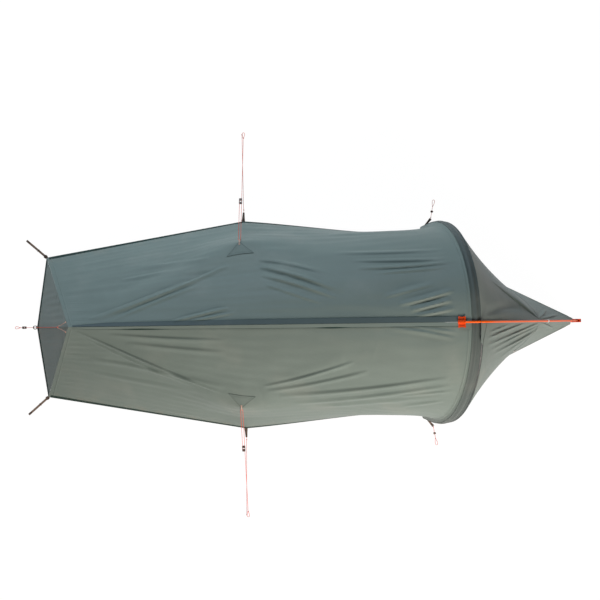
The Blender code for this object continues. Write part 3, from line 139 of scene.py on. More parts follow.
def hermite(a: Array, slope_a: Array, b: Array, slope_b: Array, t: Array) -> Array:
    """A cubic from a to b over t from 0 to 1, with a slope at each end."""
    t2, t3 = t * t, t * t * t
    ends = a * (2 * t3 - 3 * t2 + 1) + b * (3 * t2 - 2 * t3)
    return ends + slope_a * (t3 - 2 * t2 + t) + slope_b * (t3 - t2)


def smooth_route(points: list[Array], per_span: int) -> Array:
    """Points along a smooth curve through a route's own points.

    Args:
        points: The route's points, at least two.
        per_span: Steps between two of them.

    Returns:
        The curve's points as an array.
    """
    route = [np.array(p, float) for p in points]
    ends = [route[0] * 2 - route[1], *route, route[-1] * 2 - route[-2]]
    curve = []
    for k in range(1, len(ends) - 2):
        p0, p1, p2, p3 = ends[k - 1:k + 3]
        t1 = math.sqrt(np.linalg.norm(p1 - p0))
        t2 = t1 + math.sqrt(np.linalg.norm(p2 - p1))
        t3 = t2 + math.sqrt(np.linalg.norm(p3 - p2))
        for step in range(per_span):
            t = t1 + (t2 - t1) * step / per_span
            a1 = p0 * ((t1 - t) / t1) + p1 * (t / t1)
            a2 = p1 * ((t2 - t) / (t2 - t1)) + p2 * ((t - t1) / (t2 - t1))
            a3 = p2 * ((t3 - t) / (t3 - t2)) + p3 * ((t - t2) / (t3 - t2))
            b1 = a1 * ((t2 - t) / t2) + a2 * (t / t2)
            b2 = a2 * ((t3 - t) / (t3 - t1)) + a3 * ((t - t1) / (t3 - t1))
            curve.append(b1 * ((t2 - t) / (t2 - t1)) + b2 * ((t - t1) / (t2 - t1)))
    return np.array([*curve, route[-1]])


class Mesher:
    """Makes objects out of arrays of points, with the coordinates that weaves follow."""

    @staticmethod
    def build(name: str, points: Array, faces: list, weave: Array, sharp: float = 40.0) -> Obj:
        """One mesh object with its faces turned outwards.

        Args:
            name: The piece's name.
            points: Vertices, n by 3.
            faces: Index tuples.
            weave: For each vertex, metres along, metres across and a third value.
            sharp: Edges that turn more than this many degrees stay sharp.

        Returns:
            The object, linked into the scene.
        """
        mesh = bpy.data.meshes.new(name)
        mesh.from_pydata(points.tolist(), [], faces)
        a, b, c = (points[i] - points[0] for i in np.array([p.vertices[:3] for p in mesh.polygons]).T)
        if (a * np.cross(b, c)).sum() < 0:
            mesh.flip_normals()
        attribute = mesh.attributes.new("weave", "FLOAT_VECTOR", "POINT")
        attribute.data.foreach_set("vector", weave.astype(np.float32).ravel())
        mesh.shade_smooth()
        mesh.set_sharp_from_angle(angle=math.radians(sharp))
        obj = bpy.data.objects.new(name, mesh)
        bpy.context.scene.collection.objects.link(obj)
        return obj

    @staticmethod
    def normals(points: Array, away: Array) -> Array:
        """Unit normals of a grid of points, on the side that a guide field points to."""
        return facing(unit(np.cross(np.gradient(points, axis=0), np.gradient(points, axis=1))), away)

    @classmethod
    def shell(cls, name: str, points: Array, away: Array, thick: float) -> Obj:
        """A closed thin cloth over a grid of points.

        Args:
            name: The piece's name.
            points: The middle surface, rows by columns by 3.
            away: A direction, or one for each point, roughly outwards.
            thick: The cloth's thickness.

        Returns:
            The object.
        """
        rows, cols = points.shape[:2]
        out = cls.normals(points, away)
        both = np.concatenate([(points + out * (s * thick / 2)).reshape(-1, 3) for s in (-1, 1)])
        count = rows * cols
        index = np.arange(count).reshape(rows, cols)
        a, b, c, d = index[:-1, :-1], index[1:, :-1], index[1:, 1:], index[:-1, 1:]
        quads = np.stack([a, b, c, d], -1).reshape(-1, 4)
        rim = np.concatenate([index[0, :-1], index[:-1, -1], index[-1, :0:-1], index[:0:-1, 0]])
        after = np.roll(rim, -1)
        edge = np.stack([rim, after, after + count, rim + count], -1)
        faces = np.concatenate([quads[:, ::-1], quads + count, edge[:, ::-1]])
        steps = [np.linalg.norm(np.diff(points, axis=k), axis=-1) for k in (0, 1)]
        along = np.concatenate([np.zeros((1, cols)), np.cumsum(steps[0], axis=0)])
        across = np.concatenate([np.zeros((rows, 1)), np.cumsum(steps[1], axis=1)], axis=1)
        weave = np.stack([along, across, np.zeros_like(along)], -1).reshape(-1, 3)
        return cls.build(name, both, faces.tolist(), np.concatenate([weave, weave]))

    @classmethod
    def sweep(cls, name: str, line: Array, across: Array, up: Array, profile: Array,
              sharp: float = 40.0) -> Obj:
        """A closed body that carries a closed profile along a line.

        Args:
            name: The piece's name.
            line: The centreline, n by 3.
            across: The profile's first axis, one or n by 3.
            up: Its second axis, the same.
            profile: Its outline, m by 2, or n by m by 2 where it changes.
            sharp: Edges that turn more than this many degrees stay sharp.

        Returns:
            The object.
        """
        n, m = len(line), profile.shape[-2]
        across, up = (np.broadcast_to(axis, line.shape) for axis in (across, up))
        shape = np.broadcast_to(profile, (n, m, 2))
        points = line[:, None] + across[:, None] * shape[..., :1] + up[:, None] * shape[..., 1:]
        index = np.arange(n * m).reshape(n, m)
        turned = np.roll(index, -1, axis=1)
        sides = np.stack([index[:-1], turned[:-1], turned[1:], index[1:]], -1).reshape(-1, 4).tolist()
        faces = [*sides, index[0, ::-1].tolist(), index[-1].tolist()]
        weave = np.stack(np.broadcast_arrays(run(line)[:, None], shape[..., 0], shape[..., 1]), -1)
        return cls.build(name, points.reshape(-1, 3), faces, weave.reshape(-1, 3), sharp)

    @classmethod
    def tube(cls, name: str, line: Array, radius: float | Array, sides: int = 12) -> Obj:
        """A round tube along a line, whose axes turn no more than the line does.

        Args:
            name: The piece's name.
            line: The centreline, n by 3.
            radius: One radius, or one for each point.
            sides: Points round it.

        Returns:
            The object.
        """
        along = unit(np.gradient(line, axis=0))
        first = np.zeros_like(line)
        guide = Z_AXIS if abs(along[0, 2]) < 0.9 else X_AXIS
        for k, direction in enumerate(along):
            guide = first[k] = unit(guide - direction * guide.dot(direction))
        angle = np.linspace(0, TURN, sides, endpoint=False)
        ring = np.stack([np.cos(angle), np.sin(angle)], -1)
        radii = np.broadcast_to(np.asarray(radius, float), (len(line),))
        return cls.sweep(name, line, first, np.cross(along, first), ring * radii[:, None, None], 60.0)

    @staticmethod
    def band(half: float | Array, thick: float, steps: int = 3) -> Array:
        """The rounded outline of a flat webbing or tape.

        Args:
            half: Half of its width, or one value for each point of the line.
            thick: Its thickness.
            steps: Steps round each edge.

        Returns:
            The outline, m by 2, or n by m by 2.
        """
        turn = np.linspace(-math.pi / 2, math.pi / 2, steps + 1)
        edge = np.stack([np.cos(turn), np.sin(turn)], -1) * thick / 2
        halves = np.atleast_1d(np.asarray(half, float))[:, None, None]
        right = edge + np.concatenate([halves - thick / 2, np.zeros_like(halves)], -1)
        shape = np.concatenate([right, -right], axis=1)
        return shape if np.ndim(half) else shape[0]

    @classmethod
    def copies(cls, name: str, places: Array, axes: list[Array], shape: list, faces: list) -> Obj:
        """One object made of many copies of a small shape.

        Args:
            name: The piece's name.
            places: Where each copy goes, n by 3.
            axes: The three scaled axes of every copy.
            shape: The shape's points along those axes.
            faces: Its faces as index tuples.

        Returns:
            The object.
        """
        points = np.stack([places + sum(axis * c for axis, c in zip(axes, corner)) for corner in shape], 1)
        index = [tuple(i + k * len(shape) for i in f) for k in range(len(places)) for f in faces]
        return cls.build(name, points.reshape(-1, 3), index, np.zeros((len(places) * len(shape), 3)))

    @classmethod
    def stitches(cls, name: str, line: Array, out: Array, pitch: float, thread: float) -> Obj:
        """A row of separate thread stitches along a line.

        Args:
            name: The piece's name.
            line: The seam, n by 3.
            out: The cloth's normal at each point, n by 3.
            pitch: From one stitch to the next.
            thread: The thread's radius.

        Returns:
            The object.
        """
        far = run(line)
        marks = np.arange(pitch / 2, far[-1] - pitch / 4, pitch)
        place, normal = pick(marks, far, line), unit(pick(marks, far, out))
        along = unit(pick(marks + pitch * 0.1, far, line) - place)
        waist = [(1, 0), (0, 1), (-1, 0), (0, -1)]
        shape = [(-1, 0, 0), *((end, *w) for end in (-0.4, 0.4) for w in waist), (1, 0, 0)]
        turn = [(k, (k + 1) % 4) for k in range(4)]
        faces = [(0, 1 + a, 1 + b) for a, b in turn] + [(1 + a, 5 + a, 5 + b, 1 + b) for a, b in turn]
        faces += [(9, 5 + b, 5 + a) for a, b in turn]
        axes = [along * (pitch * 0.36), np.cross(along, normal) * thread, normal * thread]
        return cls.copies(name, place, axes, shape, faces)


class Nodes:
    """A short way to place and join the nodes of one shader tree."""

    def __init__(self, tree: bpy.types.NodeTree) -> None:
        """Keep the tree that nodes go into."""
        self.tree = tree

    def feed(self, node: bpy.types.Node, **inputs: object) -> None:
        """Set or link a node's inputs.

        Args:
            node: The node.
            **inputs: Values or sockets for its inputs, with _ for a space and in_0 for an index.
        """
        for key, value in inputs.items():
            socket = node.inputs[int(key[3:]) if key.startswith("in_") else key.replace("_", " ")]
            if isinstance(value, Socket):
                self.tree.links.new(value, socket)
            else:
                socket.default_value = value

    def add(self, kind: str, props: dict | None = None, **inputs: object) -> bpy.types.Node:
        """Place a node of a kind, with its settings by name and its inputs; returns it."""
        node = self.tree.nodes.new(kind)
        for key, value in (props or {}).items():
            setattr(node, key, value)
        self.feed(node, **inputs)
        return node

    def math(self, operation: str, a: object, b: object = 0.0) -> Socket:
        """One arithmetic step on numbers or sockets; returns its output."""
        return self.add("ShaderNodeMath", {"operation": operation}, in_0=a, in_1=b).outputs[0]

    def times(self, a: object, b: object) -> Socket:
        """The product of two numbers or sockets."""
        return self.math("MULTIPLY", a, b)

    def plus(self, a: object, b: object) -> Socket:
        """The sum of two numbers or sockets."""
        return self.math("ADD", a, b)

    def ramp(self, value: object, low: object, high: object) -> Socket:
        """A smooth step of a value from low to high; returns 0 to 1."""
        props = {"interpolation_type": "SMOOTHSTEP"}
        return self.add("ShaderNodeMapRange", props, in_0=value, in_1=low, in_2=high).outputs[0]

    def blend(self, share: object, a: object, b: object) -> Socket:
        """A colour between a and b; returns the socket."""
        a, b = (c if isinstance(c, Socket) else (*c, 1.0) for c in (a, b))
        return self.add("ShaderNodeMix", {"data_type": "RGBA"}, in_0=share, in_6=a, in_7=b).outputs[2]

    def noise(self, place: object, scale: object, detail: float, roughness: float = 0.5) -> Socket:
        """A noise's value at a place."""
        inputs = {"Scale": scale, "Detail": detail, "Roughness": roughness}
        return self.add("ShaderNodeTexNoise", in_0=place, **inputs).outputs[0]

    def bump(self, height: Socket, strength: float, distance: float) -> Socket:
        """A bumped normal."""
        return self.add("ShaderNodeBump", Strength=strength, Distance=distance, Height=height).outputs[0]

    def group(self, tree: bpy.types.NodeTree, **inputs: object) -> bpy.types.NodeOutputs:
        """A group's outputs."""
        return self.add("ShaderNodeGroup", {"node_tree": tree}, **inputs).outputs

    def weave(self, tree: bpy.types.NodeTree, **inputs: object) -> bpy.types.NodeOutputs:
        """The outputs of a weave's group, laid along the mesh's own weave coordinates."""
        lay = self.add("ShaderNodeAttribute", {"attribute_name": "weave"}).outputs["Vector"]
        return self.group(tree, Weave=lay, **inputs)

    def place(self) -> Socket:
        """The place in the object's own axes."""
        return self.add("ShaderNodeTexCoord").outputs["Object"]


class Effects:
    """Surface effects that several finishes share, each a node group made once."""

    @staticmethod
    def group(name: str, inputs: dict[str, float | None], fill: Callable) -> bpy.types.NodeTree:
        """A node group, or the one made before.

        Args:
            name: The group's name.
            inputs: Each input's name and default, with None for a vector.
            fill: Places the nodes between the inputs and the named outputs that it returns.

        Returns:
            The group.
        """
        found = bpy.data.node_groups.get(name)
        if found:
            return found
        tree = bpy.data.node_groups.new(name, "ShaderNodeTree")
        for key, value in inputs.items():
            kind = "NodeSocketVector" if value is None else "NodeSocketFloat"
            socket = tree.interface.new_socket(name=key, in_out="INPUT", socket_type=kind)
            if value is not None:
                socket.default_value = value
        nodes = Nodes(tree)
        outputs = fill(nodes, nodes.add("NodeGroupInput").outputs)
        for key in outputs:
            tree.interface.new_socket(name=key, in_out="OUTPUT", socket_type="NodeSocketFloat")
        nodes.feed(nodes.add("NodeGroupOutput"), **outputs)
        return tree

    @classmethod
    def ripstop(cls) -> bpy.types.NodeTree:
        """Ripstop cloth: a grid of heavier threads over a fine plain weave."""
        def fill(nodes: Nodes, given: bpy.types.NodeOutputs) -> dict[str, Socket]:
            per_cell = nodes.math("DIVIDE", 1.0, given["Cell"])
            scaled = nodes.add("ShaderNodeVectorMath", {"operation": "SCALE"}, in_0=given["Weave"],
                               Scale=per_cell)
            split = nodes.add("ShaderNodeSeparateXYZ", in_0=scaled.outputs[0]).outputs
            edge = nodes.math("SUBTRACT", 0.5, given["Thread"])
            lines, yarns = [], []
            for axis in (0, 1):
                share = nodes.math("ABSOLUTE", nodes.math("SUBTRACT", nodes.math("FRACT", split[axis]), 0.5))
                lines.append(nodes.ramp(share, edge, 0.5))
                yarns.append(nodes.math("SINE", nodes.times(split[axis], TURN * 14)))
            grid = nodes.math("MAXIMUM", *lines)
            slub = nodes.times(nodes.noise(given["Weave"], 300.0, 1.0), 0.25)
            tone = nodes.plus(nodes.times(nodes.noise(given["Weave"], 7.0, 3.0), 0.75), slub)
            height = nodes.plus(grid, nodes.times(nodes.times(*yarns), 0.2))
            return {"Grid": grid, "Height": height, "Tone": tone}
        return cls.group("ripstop_weave", {"Weave": None, "Cell": 0.0055, "Thread": 0.09}, fill)

    @classmethod
    def webbing(cls) -> bpy.types.NodeTree:
        """Woven webbing or tape: slanted yarns in rows, with a firmer edge."""
        def fill(nodes: Nodes, given: bpy.types.NodeOutputs) -> dict[str, Socket]:
            split = nodes.add("ShaderNodeSeparateXYZ", in_0=given["Weave"]).outputs
            turn = nodes.math("DIVIDE", TURN, given["Pitch"])
            quarter = nodes.math("DIVIDE", turn, 4.0)
            sweep = nodes.math("ABSOLUTE", nodes.math("SINE", nodes.times(split[1], quarter)))
            slant = nodes.plus(nodes.times(split[0], turn), nodes.times(sweep, 2.5))
            rib = nodes.plus(nodes.times(nodes.math("SINE", slant), 0.5), 0.5)
            yarn = nodes.math("SINE", nodes.times(split[1], turn))
            return {"Rib": rib, "Height": nodes.plus(rib, nodes.times(yarn, 0.3)),
                    "Tone": nodes.noise(given["Weave"], 90.0, 3.0)}
        return cls.group("webbing_weave", {"Weave": None, "Pitch": 0.0016}, fill)

    @classmethod
    def weathering(cls) -> bpy.types.NodeTree:
        """Dust that settles near the ground, and faint handling marks."""
        def fill(nodes: Nodes, given: bpy.types.NodeOutputs) -> dict[str, Socket]:
            height = nodes.add("ShaderNodeSeparateXYZ", in_0=given["Place"]).outputs[2]
            patchy = nodes.ramp(nodes.noise(given["Place"], given["Scale"], 5.0), 0.35, 0.75)
            return {"Dust": nodes.times(nodes.ramp(height, given["Reach"], 0.0), patchy),
                    "Marks": nodes.ramp(nodes.noise(given["Place"], 4.0, 6.0), 0.5, 0.72)}
        return cls.group("weathering", {"Place": None, "Reach": 0.12, "Scale": 18.0}, fill)


def shade(colour: Colour, by: float) -> Colour:
    """A colour made darker or lighter."""
    return tuple(min(1.0, c * by) for c in colour)


@dataclass(frozen=True)
class Finish:
    """What every finish has: a name, the record's slot, a colour and a roughness."""

    name: str
    slot: str
    colour: Colour
    roughness: float = 0.55

    def surface(self, nodes: Nodes, shader: bpy.types.Node) -> None:
        """Feed the shader; each kind of finish has its own way."""
        raise NotImplementedError

    def weathered(self, nodes: Nodes, colour: object, amount: float) -> Socket:
        """A clean colour with faint marks, and dust near the ground up to an amount."""
        group = nodes.group(Effects.weathering(), Place=nodes.place())
        marked = nodes.blend(nodes.times(group["Marks"], 0.06), colour, (0.55, 0.55, 0.5))
        return nodes.blend(nodes.times(group["Dust"], amount), marked, (0.36, 0.31, 0.24))

    def varied(self, nodes: Nodes, value: Socket, spread: float) -> Socket:
        """The roughness, spread about its middle by a value from 0 to 1."""
        return nodes.plus(nodes.times(value, spread), self.roughness - spread / 2)

    def material(self) -> bpy.types.Material:
        """The material, made once for each name."""
        label = f"{self.name}_finish"
        found = bpy.data.materials.get(label)
        if found:
            return found
        made = bpy.data.materials.new(label)
        made.use_nodes = True
        made.diffuse_color = (*self.colour, 1.0)
        shader = made.node_tree.nodes["Principled BSDF"]
        nodes = Nodes(made.node_tree)
        nodes.feed(shader, Base_Color=(*self.colour, 1.0), Roughness=self.roughness)
        self.surface(nodes, shader)
        return made

    def put(self, obj: Obj, body: str = "tent", node: str = "") -> Obj:
        """Finish a new piece and place it.

        Args:
            obj: The piece.
            body: The body that it rides on.
            node: The solid that it stands for, if any.

        Returns:
            The piece.
        """
        obj.data.materials.clear()
        obj.data.materials.append(self.material())
        if node:
            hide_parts(node)
        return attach(obj, body)

    def repaint(self, node: str) -> None:
        """Put the finish on a node of the frame that stays."""
        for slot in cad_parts[node].material_slots:
            slot.material = self.material()


@dataclass(frozen=True)
class ClothFinish(Finish):
    """Thin coated ripstop cloth."""

    thread: Colour = (0.2, 0.2, 0.2)
    cell: float = 0.0055
    sheen: float = 0.12
    vary: float = 0.10
    dust: float = 0.25
    gloss: float = 0.12

    def surface(self, nodes: Nodes, shader: bpy.types.Node) -> None:
        """Weave, tone, dust and a faint bump."""
        weave = nodes.weave(Effects.ripstop(), Cell=self.cell)
        dark, light = shade(self.colour, 1 - self.vary), shade(self.colour, 1 + self.vary)
        toned = nodes.blend(weave["Tone"], dark, light)
        gridded = nodes.blend(nodes.times(weave["Grid"], 0.5), toned, self.thread)
        nodes.feed(shader, Base_Color=self.weathered(nodes, gridded, self.dust),
                   Roughness=self.varied(nodes, weave["Tone"], 0.16),
                   Normal=nodes.bump(weave["Height"], 0.35, 0.0002),
                   Sheen_Weight=self.sheen, Sheen_Roughness=0.4, Specular_IOR_Level=self.gloss)


@dataclass(frozen=True)
class MeshFinish(Finish):
    """Fine insect netting that one can partly see through."""

    cell: float = 0.0016

    def surface(self, nodes: Nodes, shader: bpy.types.Node) -> None:
        """Holes between the threads of the net."""
        weave = nodes.weave(Effects.ripstop(), Cell=self.cell, Thread=0.22)
        nodes.feed(shader, Base_Color=nodes.blend(weave["Tone"], shade(self.colour, 0.8), self.colour),
                   Alpha=nodes.plus(nodes.times(weave["Grid"], 0.75), 0.25))


@dataclass(frozen=True)
class WebbingFinish(Finish):
    """Woven webbing, tape and elastic."""

    fleck: Colour = (0.5, 0.5, 0.5)
    pitch: float = 0.0016
    share: float = 0.2
    dust: float = 0.2
    gloss: float = 0.08

    def surface(self, nodes: Nodes, shader: bpy.types.Node) -> None:
        """Ribs with painted shade in their troughs, flecks, and bump."""
        weave = nodes.weave(Effects.webbing(), Pitch=self.pitch)
        # Each rib's trough is darkened as painted shade.
        trough_shaded = nodes.blend(weave["Rib"], shade(self.colour, 0.62), self.colour)
        fleck = nodes.times(nodes.ramp(weave["Tone"], 0.45, 0.7), self.share)
        flecked = nodes.blend(fleck, trough_shaded, self.fleck)
        nodes.feed(shader, Base_Color=self.weathered(nodes, flecked, self.dust),
                   Normal=nodes.bump(weave["Height"], 0.6, 0.0003), Specular_IOR_Level=self.gloss)


@dataclass(frozen=True)
class MetalFinish(Finish):
    """Anodised pole metal, with fine drawing lines and rubbed marks."""

    metallic: float = 1.0
    worn: Colour = (0.7, 0.7, 0.7)
    gloss: float = 0.5

    def surface(self, nodes: Nodes, shader: bpy.types.Node) -> None:
        """Drawn lines in the roughness, and rubbed marks in the colour."""
        marks, lines = nodes.noise(nodes.place(), 55.0, 6.0, 0.7), nodes.noise(nodes.place(), 900.0, 2.0)
        rubbed = nodes.times(nodes.ramp(marks, 0.58, 0.74), 0.35)
        nodes.feed(shader, Base_Color=nodes.blend(rubbed, self.colour, self.worn), Metallic=self.metallic,
                   Roughness=self.varied(nodes, lines, 0.14), Normal=nodes.bump(lines, 0.15, 0.0001),
                   Specular_IOR_Level=self.gloss)


@dataclass(frozen=True)
class PlasticFinish(Finish):
    """Moulded plastic with a fine grain and scuffs."""

    scuff: Colour = (0.4, 0.4, 0.4)
    dust: float = 0.2

    def surface(self, nodes: Nodes, shader: bpy.types.Node) -> None:
        """Grain, scuffs and dust."""
        place = nodes.place()
        grain = nodes.add("ShaderNodeTexVoronoi", in_0=place, Scale=1500.0).outputs[0]
        scuffs = nodes.noise(place, 140.0, 6.0, 0.75)
        marked = nodes.blend(nodes.times(nodes.ramp(scuffs, 0.55, 0.75), 0.3), self.colour, self.scuff)
        nodes.feed(shader, Base_Color=self.weathered(nodes, marked, self.dust),
                   Roughness=self.varied(nodes, scuffs, 0.2), Normal=nodes.bump(grain, 0.25, 0.0001))


FLY_CLOTH = ClothFinish("fly_cloth", "fly_cloth", (0.168, 0.232, 0.222), 0.50,
                        (0.132, 0.185, 0.178), sheen=0.06)
# Dark cloth for seams and bindings; as the sleeve's rear tape it is also painted shadow.
FLY_DARK = ClothFinish("fly_seam_and_shade_cloth", "fly_cloth", (0.095, 0.140, 0.136), 0.52, (0.075, 0.112, 0.110))
# Dark cloth for the ridge band's left half: painted shade for the band's shadowed top side.
RIDGE_SHADE_CLOTH = ClothFinish("ridge_cloth", "ridge_cloth", (0.075, 0.115, 0.125), 0.5, (0.05, 0.08, 0.09))
PATCH_CLOTH = ClothFinish("patch_cloth", "patch_cloth", (0.150, 0.212, 0.204), 0.55,
                          (0.115, 0.165, 0.160), 0.004)
SLEEVE_CLOTH = ClothFinish("sleeve_cloth", "sleeve_cloth", (0.086, 0.117, 0.118), 0.55,
                           (0.066, 0.09, 0.09), 0.004)
FLOOR_CLOTH = ClothFinish("floor_cloth", "floor_cloth", (0.10, 0.11, 0.118), 0.5, (0.075, 0.083, 0.09))
INNER_CLOTH = ClothFinish("inner_cloth", "inner_cloth", (0.55, 0.565, 0.555), 0.6,
                          (0.45, 0.465, 0.455), dust=0.1)
INNER_NET = MeshFinish("inner_mesh", "inner_mesh", (0.035, 0.037, 0.038), 0.7)
BINDING = WebbingFinish("hem_binding", "fly_cloth", (0.036, 0.072, 0.066), 0.8,
                        (0.07, 0.10, 0.095), dust=0.05)
THREAD = WebbingFinish("seam_thread", "fly_cloth", (0.085, 0.105, 0.10), 0.6, (0.15, 0.17, 0.16))
PALE_THREAD = WebbingFinish("pale_thread", "brown_webbing", (0.30, 0.27, 0.25), 0.6, (0.4, 0.38, 0.36))
PALE_TAPE = WebbingFinish("inner_tape", "inner_cloth", (0.42, 0.43, 0.43), 0.7, (0.55, 0.55, 0.55))
ORANGE_WEB = WebbingFinish("orange_webbing", "orange_webbing", (0.95, 0.080, 0.003), 0.8,
                           (1.0, 0.13, 0.01), dust=0.0)
PALE_WEB = WebbingFinish("loop_webbing", "loop_webbing", (0.60, 0.46, 0.40), 0.7, (0.75, 0.65, 0.6))
BROWN_WEB = WebbingFinish("brown_webbing", "brown_webbing", (0.115, 0.085, 0.072), 0.75, (0.24, 0.19, 0.16))
STRAP_WEB = WebbingFinish("strap_webbing", "strap_webbing", (0.235, 0.180, 0.148), 0.75, (0.36, 0.30, 0.26))
ZIP_TAPE = WebbingFinish("zip_tape", "zip_tape", (0.095, 0.130, 0.138), 0.7, (0.1, 0.12, 0.12), 0.0011)
ELASTIC = WebbingFinish("elastic_cord", "elastic", (0.03, 0.03, 0.033), 0.7, (0.3, 0.3, 0.3))
GUY_CORD = WebbingFinish("guy_cord", "guy_cord", (0.93, 0.085, 0.035), 0.7,
                         (0.95, 0.35, 0.25), 0.0030, 0.35, 0.0)
PALE_CORD = WebbingFinish("pale_cord", "pale_cord", (0.82, 0.46, 0.34), 0.65, (0.9, 0.8, 0.75), 0.0030, 0.5)
POLE_METAL = MetalFinish("pole_metal", "pole_metal", (0.42, 0.43, 0.45), 0.32)
STRUT_METAL = MetalFinish("strut_metal", "strut_metal", (0.95, 0.13, 0.006), 0.42, 0.10,
                          (1.0, 0.26, 0.03), 0.18)
ZIP_METAL = MetalFinish("zip_metal", "zip_metal", (0.05, 0.05, 0.055), 0.35, 0.8, (0.3, 0.3, 0.3))
ZIP_COIL = PlasticFinish("zip_coil", "zip_tape", (0.030, 0.036, 0.038), 0.4, dust=0.05)
CLIP_PLASTIC = PlasticFinish("clip_plastic", "clip_plastic", (0.74, 0.75, 0.77), 0.4, (0.5, 0.5, 0.5))
BLACK_PLASTIC = PlasticFinish("black_plastic", "black_plastic", (0.022, 0.022, 0.024), 0.45,
                              (0.14, 0.13, 0.12))
BUCKLE_PLASTIC = PlasticFinish("buckle_plastic", "black_plastic", (0.11, 0.098, 0.088), 0.45,
                               (0.3, 0.28, 0.25))
LOCK_PLASTIC = PlasticFinish("lock_plastic", "lock_plastic", (0.075, 0.045, 0.038), 0.45, (0.2, 0.14, 0.12))


@dataclass(frozen=True)
class Crease:
    """One tension fold from x0, y0 to x1, y1 in plan, with y counted away from the tent's middle plane."""

    x0: float
    y0: float
    x1: float
    y1: float
    height: float
    half: float
    bow: float = 0.0
    flank: float = 1.7

    def lift(self, x: Array, y: Array) -> Array:
        """How far this fold lifts the cloth.

        Args:
            x: Places along the tent.
            y: Places away from the middle plane.

        Returns:
            The lift at each place: a crest with a shallow valley on each flank.
        """
        dx, dy = self.x1 - self.x0, self.y1 - self.y0
        length = math.hypot(dx, dy)
        along = ((x - self.x0) * dx + (y - self.y0) * dy) / length ** 2
        arch = np.sin(math.pi * np.clip(along, 0.0, 1.0))
        off = (((y - self.y0) * dx - (x - self.x0) * dy) / length - self.bow * arch) / self.half
        off = off * np.where(off > 0, 0.80, 1.25)
        window = np.where((along > 0) & (along < 1), arch, 0.0) ** 0.6
        return self.height * window * np.exp(-off * off) * np.cos(self.flank * off)


def creases(*rows: tuple[float, ...]) -> tuple[Crease, ...]:
    """Creases from rows of their fields."""
    return tuple(Crease(*row) for row in rows)


def ripples(along: Array, across: Array, seed: int, wave: float, height: float) -> Array:
    """Low uneven waves that run along a tensioned cloth.

    Args:
        along: Places along the waves, in metres.
        across: Places across them.
        seed: Picks one set of waves.
        wave: Their usual width.
        height: Their usual height.

    Returns:
        The height at each place.
    """
    draw = np.random.default_rng(seed)
    total = np.zeros(np.broadcast(along, across).shape)
    count = 9
    for _ in range(count):
        length = wave * draw.uniform(0.6, 1.7)
        drift = draw.uniform(-0.22, 0.22)
        swell = 0.5 + 0.5 * np.sin(along * draw.uniform(2.5, 8.0) + across * 3 + draw.uniform(0, 6.28))
        total = total + np.sin(TURN * (across + drift * along) / length + draw.uniform(0, 6.28)) * swell ** 2
    return height * total / math.sqrt(count)


@dataclass
class Hoop:
    """The hoop pole's centreline: straight legs and a rounded crown, leaning forward."""

    foot_x: float = 0.632
    top_x: float = 0.730
    half: float = 0.521
    top_z: float = 0.975
    leg_z: float = 0.22
    foot_z: float = 0.008
    power: float = 2.05
    steps: int = 240

    def __post_init__(self) -> None:
        """Work out the line and its lengths once."""
        angle = np.linspace(0, math.pi / 2, self.steps + 1)
        y = self.half * np.sin(angle) ** (2 / self.power)
        z = mix(self.leg_z, self.top_z, np.maximum(np.cos(angle), 0) ** (2 / self.power))
        y, z = np.append(y, self.half), np.append(z, self.foot_z)
        x = mix(self.foot_x, self.top_x, (z - self.foot_z) / (self.top_z - self.foot_z))
        self.line = np.stack([x, y, z], -1)
        self.far = run(self.line)
        self.half_length = self.far[-1]
        self.normal = unit(vec(self.top_z - self.foot_z, 0, self.foot_x - self.top_x))

    def at_height(self, z: float) -> float:
        """The distance from the crown to a low height on the leg."""
        slant = math.hypot(1.0, (self.top_x - self.foot_x) / (self.top_z - self.foot_z))
        return self.half_length - (z - self.foot_z) * slant

    def point(self, distance: Array) -> Array:
        """The centreline at distances from the crown, positive on the left."""
        distance = np.asarray(distance, float)
        found = pick(np.clip(np.abs(distance), 0, self.half_length), self.far, self.line)
        found[..., 1] *= np.where(distance >= 0, 1, -1)
        return found

    def outward(self, distance: Array, reach: float = 0.004) -> Array:
        """The direction away from the hoop's inside, in its own plane."""
        ahead = self.point(np.minimum(distance + reach, self.half_length))
        behind = self.point(np.maximum(distance - reach, -self.half_length))
        centre = vec(self.foot_x, 0, self.leg_z)
        return facing(unit(np.cross(self.normal, ahead - behind)), self.point(distance) - centre)


